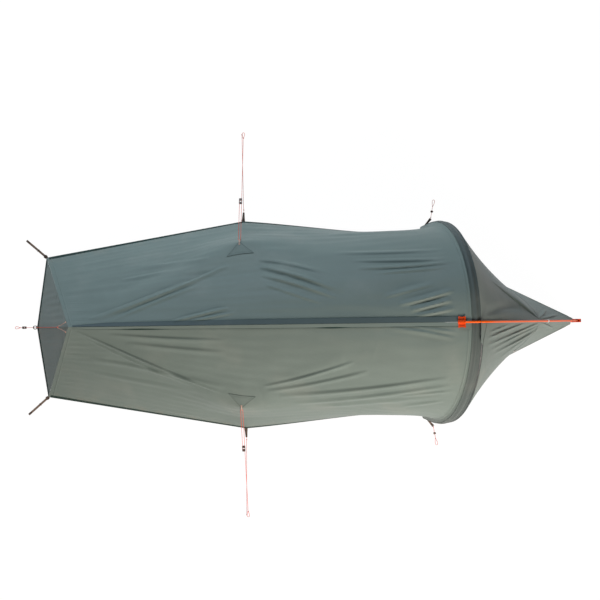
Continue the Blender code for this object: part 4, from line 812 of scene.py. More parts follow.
@dataclass
class Cloth:
    """The flysheet's and the vestibule's surfaces, as arrays over two shares."""

    hoop: Hoop
    corner: Point = (-1.433, 0.381, 0.028)
    rear_apex: Point = (-1.221, 0.0, 0.420)
    rear_hem_x: float = -1.490
    guy_x: float = -0.355
    guy_ridge_z: float = 0.620
    guy_hem_y: float = 0.565
    hem_tab: Point = (0.002, 0.050, -0.012)
    shoulder: Pair = (0.380, 0.480)
    hem_z: float = 0.028
    waist_sag: float = 0.043
    waist_at: float = 0.84
    waist_rise: float = 1.4
    peak: float = 0.050
    peak_long: float = 0.42
    peak_high: float = 0.24
    guy_u: float = 0.45
    guy_v: float = 0.60
    patch_v: float = 0.515
    patch_rear: float = 0.056
    patch_front: float = 0.071
    band_share: float = 0.018
    spine: Pair = (-1.0, 0.90)
    sleeve_half: float = 0.021
    seam: float = 0.0005
    tip: Point = (1.432, 0.0, 0.045)
    tip_hem_y: float = 0.012
    kink: Point = (1.040, 0.205, 0.050)
    kink_share: float = 0.55
    door_end: float = 0.985
    door_corner: float = 0.032
    arch_decay: float = 2.5
    zip_width: float = 0.012
    layer: float = 0.0006
    fold_gain: float = 1.8

    shared: tuple[Crease, ...] = creases(
        (-1.15, 0.03, -0.46, 0.335, 0.009, 0.050, 0, 0), (-0.26, 0.315, 0.16, 0.170, 0.008, 0.048, 0, 0),
        (-0.24, 0.380, 0.52, 0.310, 0.007, 0.050, 0, 0), (-1.05, 0.16, -0.52, 0.400, -0.006, 0.045, 0, 0),
        (0.25, 0.430, 0.66, 0.430, 0.006, 0.040, 0, 0), (0.30, 0.120, 0.62, 0.230, -0.006, 0.045, 0, 0))
    left_creases: tuple[Crease, ...] = creases(
        (-0.41, 0.30, -1.09, 0.035, 0.0042, 0.013, 0.010), (-0.62, 0.22, -1.12, 0.038, 0.0030, 0.011, 0.006),
        (-0.55, 0.20, -1.00, 0.028, 0.0028, 0.012, -0.006), (-0.72, 0.285, -0.98, 0.240, 0.0022, 0.012),
        (-0.50, 0.34, -0.90, 0.310, 0.0020, 0.016), (-0.40, 0.085, -0.68, 0.022, 0.0040, 0.011),
        (-0.37, 0.060, -0.60, 0.020, 0.0030, 0.009), (-0.26, 0.325, 0.08, 0.240, 0.0040, 0.014, 0.006),
        (-0.25, 0.286, 0.11, 0.166, 0.0062, 0.015, 0.006), (-0.24, 0.243, 0.12, 0.122, 0.0058, 0.014, 0.005),
        (-0.22, 0.196, 0.05, 0.098, 0.0034, 0.013), (0.12, 0.340, 0.62, 0.338, 0.0044, 0.012, -0.006),
        (0.20, 0.300, 0.64, 0.292, 0.0040, 0.011, -0.005), (0.22, 0.262, 0.66, 0.276, 0.0046, 0.012, -0.008),
        (0.30, 0.232, 0.62, 0.250, 0.0028, 0.010), (0.34, 0.120, 0.56, 0.176, 0.0034, 0.014),
        (0.40, 0.082, 0.64, 0.142, 0.0058, 0.015, -0.004), (0.45, 0.054, 0.63, 0.098, 0.0052, 0.014),
        (0.47, 0.026, 0.64, 0.060, 0.0046, 0.013), (0.10, 0.46, 0.55, 0.455, 0.0030, 0.016))
    right_creases: tuple[Crease, ...] = creases(
        (-1.205, 0.012, -0.41, 0.360, 0.0066, 0.010, 0.004),
        (-1.19, 0.030, -0.62, 0.300, 0.0034, 0.010, 0.010),
        (-1.02, 0.042, -0.42, 0.076, 0.0042, 0.016, 0.005),
        (-0.93, 0.086, -0.42, 0.136, 0.0040, 0.018, 0.004),
        (-1.14, 0.165, -0.43, 0.316, 0.0048, 0.018, -0.010), (-1.16, 0.235, -0.60, 0.345, 0.0026, 0.016),
        (-0.24, 0.306, 0.20, 0.182, 0.0058, 0.012, 0.006), (-0.22, 0.331, 0.27, 0.228, 0.0060, 0.014, 0.007),
        (-0.16, 0.356, 0.63, 0.256, 0.0064, 0.014, 0.010), (-0.10, 0.398, 0.65, 0.292, 0.0058, 0.014, 0.008),
        (0.02, 0.420, 0.60, 0.350, 0.0036, 0.014), (0.42, 0.350, 0.66, 0.318, 0.0042, 0.010),
        (0.44, 0.405, 0.62, 0.372, 0.0036, 0.010), (0.36, 0.022, 0.64, 0.074, 0.0042, 0.014, -0.006),
        (0.46, 0.018, 0.65, 0.046, 0.0034, 0.012))
    left_front: tuple[Crease, ...] = creases(
        (0.86, 0.196, 1.160, 0.012, 0.0060, 0.008, 0.004), (0.91, 0.180, 1.10, 0.060, 0.0046, 0.008),
        (0.76, 0.036, 1.04, 0.064, -0.0080, 0.026, 0.012, 1.2), (1.15, 0.012, 1.26, 0.060, 0.0042, 0.008),
        (1.16, 0.010, 1.34, 0.034, 0.0036, 0.007))
    right_front: tuple[Crease, ...] = creases(
        (0.80, 0.048, 0.93, 0.014, 0.0044, 0.008), (0.79, 0.074, 1.04, 0.010, 0.0062, 0.009),
        (0.79, 0.106, 1.15, 0.010, 0.0068, 0.010, 0.004), (0.82, 0.130, 1.16, 0.024, 0.0046, 0.009),
        (0.85, 0.148, 1.17, 0.036, 0.0060, 0.009, 0.006), (0.90, 0.176, 1.17, 0.046, 0.0036, 0.010),
        (1.17, 0.010, 1.30, 0.040, 0.0038, 0.008))
    front_shared: tuple[Crease, ...] = creases(
        (1.18, 0.010, 1.00, 0.170, 0.006, 0.028, 0, 0), (1.16, 0.006, 0.86, 0.230, 0.006, 0.030, 0, 0),
        (1.14, 0.004, 0.82, 0.120, -0.005, 0.028, 0, 0))

    def __post_init__(self) -> None:
        """Turn the corner places into arrays and measure the hoop."""
        for name in ("corner", "rear_apex", "tip", "kink", "hem_tab"):
            setattr(self, name, np.array(getattr(self, name)))
        self.hem_distance = self.hoop.at_height(self.hem_z)
        self.arch_offset = self.sleeve_half + self.seam
        self.hem_root = vec(self.guy_x, self.guy_hem_y + SOLID_LAYER / 2 + FIT, self.hem_z + TAB_THICK)

    def away(self, points: Array) -> Array:
        """Outwards from a low line along the tent, at each point."""
        spine = np.zeros_like(points)
        spine[..., 0] = np.clip(points[..., 0], *self.spine)
        return unit(points - spine)

    def arch(self, v: Array, offset: float) -> Array:
        """The hoop's line, moved along the tent by an offset, from crown to hem at share v."""
        return self.hoop.point(v * self.hem_distance) + self.hoop.normal * offset

    def rear_axes(self) -> tuple[Array, Array, Array]:
        """The rear hem's middle, the way up the rear panel from it, and the way out of the panel."""
        hem = vec(self.rear_hem_x, 0, self.hem_z)
        rise = unit(self.rear_apex - hem)
        return hem, rise, facing(np.cross(Y_AXIS, rise), -X_AXIS)

    def folded(self, points: Array, wide: Array, fine: Array, gap: float, side: Side) -> Array:
        """Points moved outwards by their folds and kept off the middle plane, on their own side."""
        made = points + self.away(points) * (wide + fine)[..., None]
        made[..., 1] = np.maximum(made[..., 1], gap)
        return side.turn(made)

    def smooth_panel(self, u: Array, v: Array) -> Array:
        """The left main panel without its folds.

        Args:
            u: Share from the rear seam to the sleeve.
            v: Share from the ridge to the hem.

        Returns:
            Points, for the left side.
        """
        rear = mix(self.rear_apex, self.corner, v[..., None])
        low = (1 - v) ** 2 * self.guy_ridge_z + 2 * v * (1 - v) * self.shoulder[1] + v * v * self.hem_z
        wide = 2 * v * (1 - v) * self.shoulder[0] + v * v * self.guy_hem_y
        middle = np.stack([np.full_like(v, self.guy_x), wide, low], -1)
        front = self.arch(v, -self.arch_offset)
        rear_length, front_length = middle[..., 0] - rear[..., 0], front[..., 0] - middle[..., 0]
        slope = (front[..., 2] - rear[..., 2]) / (rear_length + front_length)
        t_rear = np.clip(u / self.guy_u, 0, 1)
        t_front = np.clip((u - self.guy_u) / (1 - self.guy_u), 0, 1)
        behind = u <= self.guy_u
        points = np.where(behind[..., None], mix(rear, middle, t_rear[..., None]),
                          mix(middle, front, t_front[..., None]))
        rear_z = hermite(rear[..., 2], 2 * (middle[..., 2] - rear[..., 2]) - slope * rear_length,
                         middle[..., 2], slope * rear_length, t_rear)
        front_z = hermite(middle[..., 2], slope * front_length, front[..., 2],
                          2 * (front[..., 2] - middle[..., 2]) - slope * front_length, t_front)
        points[..., 2] = np.where(behind, rear_z, front_z)
        fall = self.waist_rise * (1 - self.waist_at) / self.waist_at
        waist = (t_front / self.waist_at) ** self.waist_rise * ((1 - t_front) / (1 - self.waist_at)) ** fall
        points[..., 1] -= self.waist_sag * waist * v
        reach = np.hypot((points[..., 0] - self.guy_x) / self.peak_long, (v - self.guy_v) / self.peak_high)
        return points + self.away(points) * (self.peak * np.maximum(0.0, 1 - reach) ** 1.5)[..., None]

    def panel(self, u: Array, v: Array, side: Side) -> Array:
        """A main panel with its folds, on its own side.

        Args:
            u: Share from the rear seam to the sleeve.
            v: Share from the ridge to the hem.
            side: Which panel.

        Returns:
            Points.
        """
        points = self.smooth_panel(u, v)
        x, y = points[..., 0], points[..., 1]
        own = self.left_creases if side is Side.LEFT else self.right_creases
        wide = sum(c.lift(x, y) for c in self.shared) * least(8 * u, 8 * (1 - u))
        fine = self.fold_gain * sum(c.lift(x, y) for c in own)
        fine = fine + ripples(x, v * 1.05, 11 + side.value, 0.085, 0.0011)
        pucker = np.exp(-((1 - u) * 1.06 / 0.05) ** 2) + np.exp(-(u * 0.87 / 0.04) ** 2)
        fine = fine + ripples(v * 1.05, u * 0.4 + v * 1.05, 31 + side.value, 0.030, 0.0007) * pucker
        at_patch = np.hypot((x - self.guy_x) / 0.09, (v - 0.555) / 0.06)
        fine = fine * least(30 * u, 22 * (1 - u), 26 * v, 16 * (1 - v)) * np.clip(at_patch - 0.8, 0.12, 1.0)
        return self.folded(points, wide, fine, self.seam / 2, side)

    def front_panel(self, u: Array, v: Array, side: Side, trimmed: bool = True) -> Array:
        """The left vestibule panel, or the door on the right.

        Args:
            u: Share from the hoop to the front tip.
            v: Share from the ridge to the hem.
            side: Left for the fixed panel, right for the door.
            trimmed: Whether the door's corner at the crown is cut away, as it is on the door itself.

        Returns:
            Points.
        """
        left = side is Side.LEFT
        if trimmed and not left:
            u = mix(self.door_corner * np.maximum(0.0, 1 - v * 14), self.door_end, u)
        offset = self.arch_offset + (0.0 if left else self.zip_width + self.seam)
        top, foot = (self.arch(np.asarray(end), offset) for end in (0.0, 1.0))
        tip_hem = vec(self.tip[0] + 0.010, self.tip_hem_y, self.hem_z)
        u3, v3, kink = u[..., None], v[..., None], self.kink_share
        hem = np.where(u3 <= kink, mix(foot, self.kink, u3 / kink),
                       mix(self.kink, tip_hem, (u3 - kink) / (1 - kink)))
        bow = self.arch(v, offset) - mix(top, foot, v3)
        points = mix(mix(top, self.tip, u3), hem, v3) + bow * (1 - u3) ** self.arch_decay
        x, y = points[..., 0], points[..., 1]
        wide = sum(c.lift(x, y) for c in self.front_shared) * np.minimum(1.0, 5 * v)
        fine = self.fold_gain * sum(c.lift(x, y) for c in (self.left_front if left else self.right_front))
        fine = fine + ripples(u * 0.9, v * 0.9 * (1 - 0.8 * u), 71 + side.value, 0.07, 0.0009)
        fine = fine * least(14 * u, 14 * (1 - u), 30 * v, 16 * (1 - v))
        return self.folded(points, wide, fine, self.seam / 2 if left else 0.0009, side)

    def rear_panel(self, w: Array, v: Array) -> Array:
        """The rear panel.

        Args:
            w: Share from the middle to a seam, negative on the right.
            v: Share from the rear apex to the hem.

        Returns:
            Points.
        """
        middle = np.stack([mix(self.rear_apex[0], self.rear_hem_x, v), np.zeros_like(v),
                           mix(self.rear_apex[2], self.hem_z, v)], -1)
        seam = mix(self.rear_apex, self.corner, v[..., None])
        points = mix(middle, seam, np.abs(w)[..., None])
        points[..., 1] *= np.where(w < 0, -1.0, 1.0)
        width = seam[..., 1]
        near = np.exp(-((1 - np.abs(w)) * width / 0.05) ** 2)
        fine = ripples(v * 0.45, w * width, 91, 0.05, 0.0012)
        fine = fine + ripples(np.abs(w) * width, v * 0.45, 92, 0.035, 0.0016) * near
        fine = fine * least(20 * v, 16 * (1 - v), 9 * (1 - np.abs(w)))
        return points + self.away(points) * fine[..., None]


def grid(u: Array, v: Array) -> tuple[Array, Array]:
    """Two share arrays as a grid, with u down the rows."""
    return tuple(np.meshgrid(u, v, indexing="ij"))


@dataclass
class Sewn:
    """A sub-assembly of cloth or webbing, with the sheets, tapes and stitches that all of them use."""

    cloth: Cloth

    def sheet(self, name: str, node: str, points: Array, away: Array, finish: Finish, held: str,
              rests_on: list[str], body: str = "tent", thick: float = 0.0005) -> None:
        """A cloth that stands for a solid; the flat size of its own surface is logged.

        Args:
            name: The piece's name.
            node: The solid that it stands for.
            points: Its middle surface as a grid.
            away: A direction, or one for each point, roughly outwards.
            finish: Its finish.
            held: How it is held; not used.
            rests_on: What holds it.
            body: The body that it rides on.
            thick: Its thickness.
        """
        made = finish.put(Mesher.shell(name, points, away, thick), body, node)
        length, width = (float(np.linalg.norm(np.diff(points, axis=k), axis=-1).sum(k).max()) for k in (0, 1))
        a, b, c, d = points[:-1, :-1], points[1:, :-1], points[1:, 1:], points[:-1, 1:]
        halves = [np.linalg.norm(np.cross(p, q), axis=-1).sum() / 2
                  for p, q in ((b - a, d - a), (d - c, b - c))]
        area = min(float(sum(halves)), length * width)
        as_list(rests_on)
        LOG.info("%s: cut %.2f by %.2f m, %.2f square metres", name, width, length, area)

    def tape(self, name: str, line: Array, across: Array | None, out: Array, half: float | Array,
             thick: float, finish: Finish, body: str = "tent", node: str = "") -> Obj:
        """A flat tape along a line.

        Args:
            name: The piece's name.
            line: Its middle.
            across: The direction of its width, or None for the one that lies on the cloth.
            out: The normal of its face.
            half: Half of its width.
            thick: Its thickness.
            finish: Its finish.
            body: The body that it rides on.
            node: The solid that it stands for, if any.

        Returns:
            The piece.
        """
        across = beside(line, out) if across is None else across
        return finish.put(Mesher.sweep(name, line, across, out, Mesher.band(half, thick)), body, node)

    def ribbon(self, name: str, line: Array, across: Array, half: float | Array, thick: float,
               finish: Finish, body: str = "tent", node: str = "") -> Obj:
        """A tape as above, whose face follows its line and stays square to an axis; returns the piece."""
        along = unit(np.gradient(line, axis=0))
        up = unit(np.cross(along, np.broadcast_to(across, line.shape)))
        return self.tape(name, line, unit(np.cross(up, along)), up, half, thick, finish, body, node)

    def stitch(self, name: str, line: Array, out: Array, body: str = "tent", finish: Finish = THREAD,
               pitch: float = 0.0045, thread: float = 0.0003) -> None:
        """A row of stitches on a face with a normal, riding on a body."""
        out = np.broadcast_to(out, line.shape)
        finish.put(Mesher.stitches(name, line, out, pitch, thread), body)

    def hem(self, name: str, surface: Callable, share: Array, back: float, sizes: Pair, finish: Finish,
            body: str = "tent") -> tuple[Array, Array, Array]:
        """A binding folded over a panel's hem.

        Args:
            name: The piece's name.
            surface: Gives the panel's points at shares along the hem and down the panel.
            share: The shares along the hem.
            back: The share down the panel to which its slope is measured.
            sizes: Half of the binding's width, and its thickness.
            finish: Its finish.
            body: The body that it rides on.

        Returns:
            The binding's middle, the way up the panel, and the panel's normal.
        """
        pair = np.stack([surface(share, np.ones_like(share)), surface(share, np.full_like(share, back))], 1)
        rise = unit(pair[:, 1] - pair[:, 0])
        out = Mesher.normals(pair, self.cloth.away(pair))[:, 0]
        line = pair[:, 0] + rise * (sizes[0] - 0.001)
        self.tape(name, line, rise, out, *sizes, finish, body)
        return line, rise, out

    def raised(self, surface: Callable, u: Array, v: Array, lift: float, back: float = 0.002,
               ahead: float = 0.002) -> tuple[Array, Array]:
        """A line or grid on a panel, raised off it.

        Args:
            surface: Gives the panel's points at two shares.
            u: The first shares.
            v: The second shares.
            lift: How far it is raised.
            back: The step back in a share over which the slope is taken.
            ahead: The step ahead.

        Returns:
            The points and the cloth's normals there.
        """
        on_u = surface(np.minimum(u + ahead, 1), v) - surface(np.maximum(u - back, 0), v)
        on_v = surface(u, np.minimum(v + ahead, 1)) - surface(u, np.maximum(v - back, 0))
        here = surface(u, v)
        out = facing(unit(np.cross(on_u, on_v)), self.cloth.away(here))
        return here + out * lift, out


@dataclass
class Flysheet(Sewn):
    """The flysheet's panels, seams, ridge band, patches and hem bindings."""

    u_steps: int = 340
    v_bands: tuple[tuple[float, float, int], ...] = ((0, 0.03, 7), (0.03, 0.45, 96), (0.45, 1, 75))
    rear_steps: tuple[int, int] = (70, 90)
    seam_half: float = 0.0040
    seam_thick: float = 0.0008
    binding: Pair = (0.0105, 0.0036)
    band_lift: float = 0.0014

    def build(self) -> None:
        """Make every piece of the flysheet."""
        for side in Side:
            panel = partial(self.cloth.panel, side=side)
            self.main_panel(side.word, panel)
            self.patch(side.word, panel)
        self.rear()
        self.ridge()

    def main_panel(self, word: str, panel: Callable) -> None:
        """One main panel with its hem binding and seams."""
        bands = np.unique(np.concatenate([np.linspace(*band) for band in self.v_bands]))
        points = panel(*grid(np.linspace(0, 1, self.u_steps), bands))
        self.sheet(f"fly_cloth_{word}", f"fly_panel_{word}", points, self.cloth.away(points), FLY_CLOTH,
                   "stretched", ["hoop_sleeve", "foot_pole"], thick=self.cloth.layer)
        share = np.linspace(0.004, 0.996, 260)
        line, rise, out = self.hem(f"hem_binding_{word}", panel, share, 0.985, self.binding, BINDING)
        self.stitch(f"hem_stitch_{word}", line + rise * 0.004 + out * self.binding[1] / 2, out)
        down = np.linspace(0.03, 0.985, 120)
        for name, at in (("rear", 0.010), ("arch", 0.994)):
            line, out = self.raised(panel, np.full_like(down, at), down, 0.0008)
            self.tape(f"{name}_seam_tape_{word}", line, None, out, self.seam_half, self.seam_thick, FLY_CLOTH)
            self.stitch(f"{name}_seam_stitch_{word}", line + out * 0.0005, out)

    def rear(self) -> None:
        """The rear panel, its centre seam and hem binding."""
        cloth = self.cloth
        v, w = grid(np.linspace(0.004, 1, self.rear_steps[0]), np.linspace(-0.996, 0.996, self.rear_steps[1]))
        points = cloth.rear_panel(w, v)
        self.sheet("fly_cloth_rear", "fly_rear_panel", points, cloth.away(points), FLY_CLOTH, "stretched",
                   ["foot_pole"], thick=cloth.layer)
        share = np.linspace(-0.99, 0.99, 120)
        self.hem("hem_binding_rear", cloth.rear_panel, share, 0.97, self.binding, BINDING)
        down = np.linspace(0.06, 0.985, 60)
        line, out = cloth.rear_panel(np.zeros_like(down), down), cloth.rear_axes()[2]
        self.tape("rear_centre_tape", line + out * 0.0008, None, out, self.seam_half, self.seam_thick,
                  FLY_CLOTH)
        self.stitch("rear_centre_stitch", line + out * 0.0014, out)

    def ridge(self) -> None:
        """The ridge band: a left half in painted shade, a pale right half, and dark edges of painted shadow.
        """
        share = np.linspace(0.012, 0.985, 320)
        # Half width of the dark right edge, widened at two puckers: painted shadow where the band's edge
        # lifts.
        edge_shadow_half = 0.0010 + 0.0035 * np.exp(-((share - 0.20) / 0.05) ** 2)
        edge_shadow_half = edge_shadow_half + 0.0030 * np.exp(-((share - 0.685) / 0.03) ** 2)
        # The left half is dark cloth as painted shade; the right half is the plain fly cloth.
        for side, finish, most, half, node in (
                (Side.LEFT, RIDGE_SHADE_CLOTH, 1.22, np.full_like(share, 0.0007), "ridge_band"),
                (Side.RIGHT, FLY_CLOTH, 0.85, edge_shadow_half, "")):
            panel = partial(self.cloth.panel, side=side)
            wide = self.cloth.band_share * np.clip(0.4 + 8 * share, 0.3, most) * (1.9 - 0.9 * share)
            u, w = grid(share, np.linspace(0, 1, 7))
            points, out = self.raised(panel, u, w * wide[:, None], self.band_lift)
            finish.put(Mesher.shell(f"ridge_band_{side.word}", points, out, 0.0008), "tent", node)
            line, out = self.raised(panel, share, wide, self.band_lift)
            # Dark tapes along the band's edges: painted shadow cast by those edges.
            self.tape(f"ridge_edge_{side.word}", line, None, out, half, 0.0014, BINDING)
            inside = line - beside(line, out) * (0.006 * side.value)
            self.stitch(f"ridge_stitch_{side.word}", inside + out * 0.0004, out)

    def patch(self, word: str, panel: Callable) -> None:
        """The side guy patch: two layers of cloth, edge-stitched."""
        cloth = self.cloth
        rear = cloth.patch_rear / (cloth.guy_x - cloth.rear_apex[0]) * cloth.guy_u
        front = cloth.patch_front / (cloth.hoop.foot_x - cloth.guy_x) * (1 - cloth.guy_u)
        t, w = grid(np.linspace(0.0, 1.0, 24), np.linspace(-1, 1, 31))
        u = cloth.guy_u + np.where(w < 0, -rear, front) * np.maximum(t, 0.03) * np.abs(w)
        points, out = self.raised(panel, u, mix(cloth.guy_v, cloth.patch_v, t), 0.0014)
        PATCH_CLOTH.put(Mesher.shell(f"guy_patch_{word}", points, out, 0.0010), "tent", f"side_patch_{word}")
        for tag, edge, inner in (("base", np.s_[-1], np.s_[-4]), ("rear", np.s_[:, 0], np.s_[:, 3]),
                                 ("front", np.s_[:, -1], np.s_[:, -4])):
            normal = out[edge]
            line = points[edge] + normal * 0.0007
            self.tape(f"patch_edge_{tag}_{word}", line, None, normal, 0.0010, 0.0008, FLY_DARK)
            self.stitch(f"patch_stitch_{tag}_{word}", points[inner][2:] + normal[2:] * 0.0008, normal[2:])


@dataclass
class Sleeve(Sewn):
    """The cloth tunnel that the hoop runs in, with flat seams along both edges."""

    half: float = 0.021
    pole_rise: float = 0.0062
    pole_reach: float = 0.0085
    edge_rise: float = 0.0011
    steps: int = 360

    def rise(self, off: Array) -> Array:
        """The tunnel's height above the pole's line, at a distance to the side of it."""
        return self.edge_rise + (self.pole_rise - self.edge_rise) * np.exp(-(off / self.pole_reach) ** 2)

    def build(self) -> None:
        """Make the tunnel and its seams."""
        hoop, reach = self.cloth.hoop, self.cloth.hem_distance - 0.004
        distance = np.linspace(-reach, reach, self.steps)
        line, out = hoop.point(distance), hoop.outward(distance)
        share = np.linspace(-1, 1, 25)
        bulge = self.rise(share * self.half)
        waves = ripples(np.zeros_like(distance), distance, 51, 0.034, 0.0010)[:, None]
        pucker = waves * np.abs(share) ** 1.5 * 0.6
        wide = np.broadcast_to(share * self.half, pucker.shape)
        top = np.stack([wide, pucker + bulge + 0.0006], -1)
        bottom = np.stack([wide, pucker - bulge * 0.92 - 0.0006], -1)[:, ::-1]
        profile = np.concatenate([top, bottom], axis=1)
        tunnel = Mesher.sweep("hoop_tunnel", line, hoop.normal, out, profile, 60.0)
        SLEEVE_CLOTH.put(tunnel, "tent", "hoop_sleeve")
        # The rear tape's dark cloth is painted shadow beside the sleeve's rear seam; the front tape is plain
        # sleeve cloth.
        for name, place, half, finish in (("rear", -0.0190, 0.0016, FLY_DARK),
                                          ("front", 0.0180, 0.0026, SLEEVE_CLOTH)):
            path = line + hoop.normal * place + out * (self.rise(place) + 0.0013)
            self.tape(f"sleeve_{name}_tape", path, hoop.normal, out, half, 0.0009, finish)
            self.stitch(f"sleeve_{name}_stitch", path + out * 0.0005, out)


@dataclass
class Vestibule(Sewn):
    """The fixed front panel, the door, and the zip between the door and the hoop."""

    u_steps: int = 190
    v_steps: int = 170
    binding: Pair = (0.0055, 0.0022)
    coil_pitch: float = 0.0030
    coil_half: Point = (0.0017, 0.0009, 0.0006)
    zip_top: float = 0.012
    zip_low: float = 0.004
    door_tape_top: float = 0.062
    tape_shift: float = -0.0003

    def build(self) -> None:
        """Make both panels and the zip."""
        for side, name, node, body in ((Side.LEFT, "vestibule_cloth", "vestibule_panel", "tent"),
                                       (Side.RIGHT, "door_cloth", "vestibule_door", "door")):
            panel = partial(self.cloth.front_panel, side=side)
            points = panel(*grid(np.linspace(0, 0.998, self.u_steps), np.linspace(0, 1, self.v_steps)))
            self.sheet(name, node, points, self.cloth.away(points), FLY_CLOTH, "stretched",
                       ["hoop_sleeve", "front_pole_pocket"], body, self.cloth.layer)
            share = np.linspace(0.01, 0.97, 200)
            line, rise, out = self.hem(f"front_binding_{side.word}", panel, share, 0.985, self.binding,
                                       FLY_DARK, body)
            self.stitch(f"front_stitch_{side.word}", line + rise * 0.003 + out * 0.0012, out, body)
            t = np.linspace(0.04, 0.96, 70)
            line, out = self.raised(panel, mix(0.56, 0.60, t), mix(0.97, 0.06, t), 0.0008, 0.0, 0.004)
            self.tape(f"brace_seam_{side.word}", line, None, out, 0.0035, 0.0008, FLY_DARK, body)
        self.ridge_tape()
        self.flap()
        self.toggle()
        self.zip()

    def ridge_tape(self) -> None:
        """The strip between the fixed panel's ridge edge and the door's, which the door hinges on."""
        u = np.linspace(0.002, 0.985, 120)
        inner = self.cloth.front_panel(u, np.full_like(u, 0.004), Side.LEFT)
        outer = self.cloth.front_panel(u, np.zeros_like(u), Side.RIGHT, trimmed=False)
        edges = np.stack([inner, mix(inner, outer, 0.5), outer], 1)
        edges[..., 1] = self.tape_shift
        FLY_CLOTH.put(Mesher.shell("ridge_tape", edges, Y_AXIS, self.cloth.layer))

    def flap(self) -> None:
        """The small gusset under the door's corner at the crown."""
        t, v = grid(np.linspace(0, 1, 18), np.linspace(0.0004, 0.088, 30))
        u = mix(-0.023 * np.clip((0.086 - v) / 0.014, 0, 1) - 0.001, 0.062 * (1 - v / 0.1) + 0.004, t)
        points = self.cloth.front_panel(u, v, Side.RIGHT, trimmed=False)
        away = self.cloth.away(points)
        FLY_CLOTH.put(Mesher.shell("crown_gusset", points - away * 0.0026, away, self.cloth.layer))

    def toggle(self) -> None:
        """The toggle that holds the rolled door back, on its tab."""
        line = self.cloth.front_panel(vec(0.555, 0.585), vec(0.66, 0.66), Side.RIGHT)
        out = self.cloth.away(line)[0]
        share = np.linspace(0, 1, 17)
        bar = line[0] + unit(line[1] - line[0]) * 0.016 * share[:, None] + out * 0.0042
        width = 0.0026 * np.sqrt(np.clip(1 - (2 * share - 1) ** 6, 0.04, 1))
        CLIP_PLASTIC.put(Mesher.tube("door_toggle", bar, width, 14), "door")
        across = unit(np.cross(bar[-1] - bar[0], out))
        ring = loop(bar[8] - out * 0.0012, across * 0.0048, out * 0.0042, np.linspace(0, TURN, 25))
        ELASTIC.put(Mesher.tube("toggle_loop", ring, 0.0008, 8), "door")

    def zip(self) -> None:
        """Two tapes, and a row of coil teeth between them."""
        hoop, full = self.cloth.hoop, self.cloth.hem_distance
        low, high = self.zip_low - full, -self.zip_top
        middle = self.cloth.arch_offset + self.cloth.zip_width / 2
        for name, shift, top, body, node in (("hoop", -0.0032, high, "tent", "door_zip"),
                                             ("door", 0.0034, -full * self.door_tape_top, "door", "")):
            distance = np.linspace(low, top, 220)
            line = hoop.point(distance) + hoop.normal * (middle + shift)
            self.tape(f"zip_tape_{name}", line, hoop.normal, hoop.outward(distance), 0.0028, 0.0009, ZIP_TAPE,
                      body, node)
        marks = np.arange(low + 0.004, high - 0.004, self.coil_pitch)
        out = hoop.outward(marks)
        place = hoop.point(marks) + hoop.normal * middle + out * 0.0003
        across = np.cross(hoop.normal, out)
        axes = [axis * half for axis, half in zip((hoop.normal, across, out), self.coil_half)]
        box = [(a, b, c) for a in (-1, 1) for b in (-1, 1) for c in (-1, 1)]
        sides = [(0, 1, 3, 2), (4, 6, 7, 5), (0, 4, 5, 1), (2, 3, 7, 6), (0, 2, 6, 4), (1, 5, 7, 3)]
        ZIP_COIL.put(Mesher.copies("zip_teeth", place, axes, box, sides))
        ZIP_METAL.repaint("zip_slider")


def knot_line(place: Array, along: Array, size: float) -> Array:
    """A small overhand knot's path round a cord.

    Args:
        place: The knot's middle.
        along: The cord's direction.
        size: The knot's radius.

    Returns:
        Points of the path.
    """
    along = unit(np.asarray(along, float))
    first = unit(np.cross(along, Z_AXIS if abs(along[2]) < 0.9 else X_AXIS))
    turn = np.linspace(0, 2 * TURN, 49)
    reach = (size * (1 + 0.32 * np.cos(1.5 * turn)))[:, None]
    lean = along * (np.sin(1.5 * turn) * size * 0.75)[:, None]
    return loop(place + lean, first * reach, np.cross(along, first) * reach, turn)


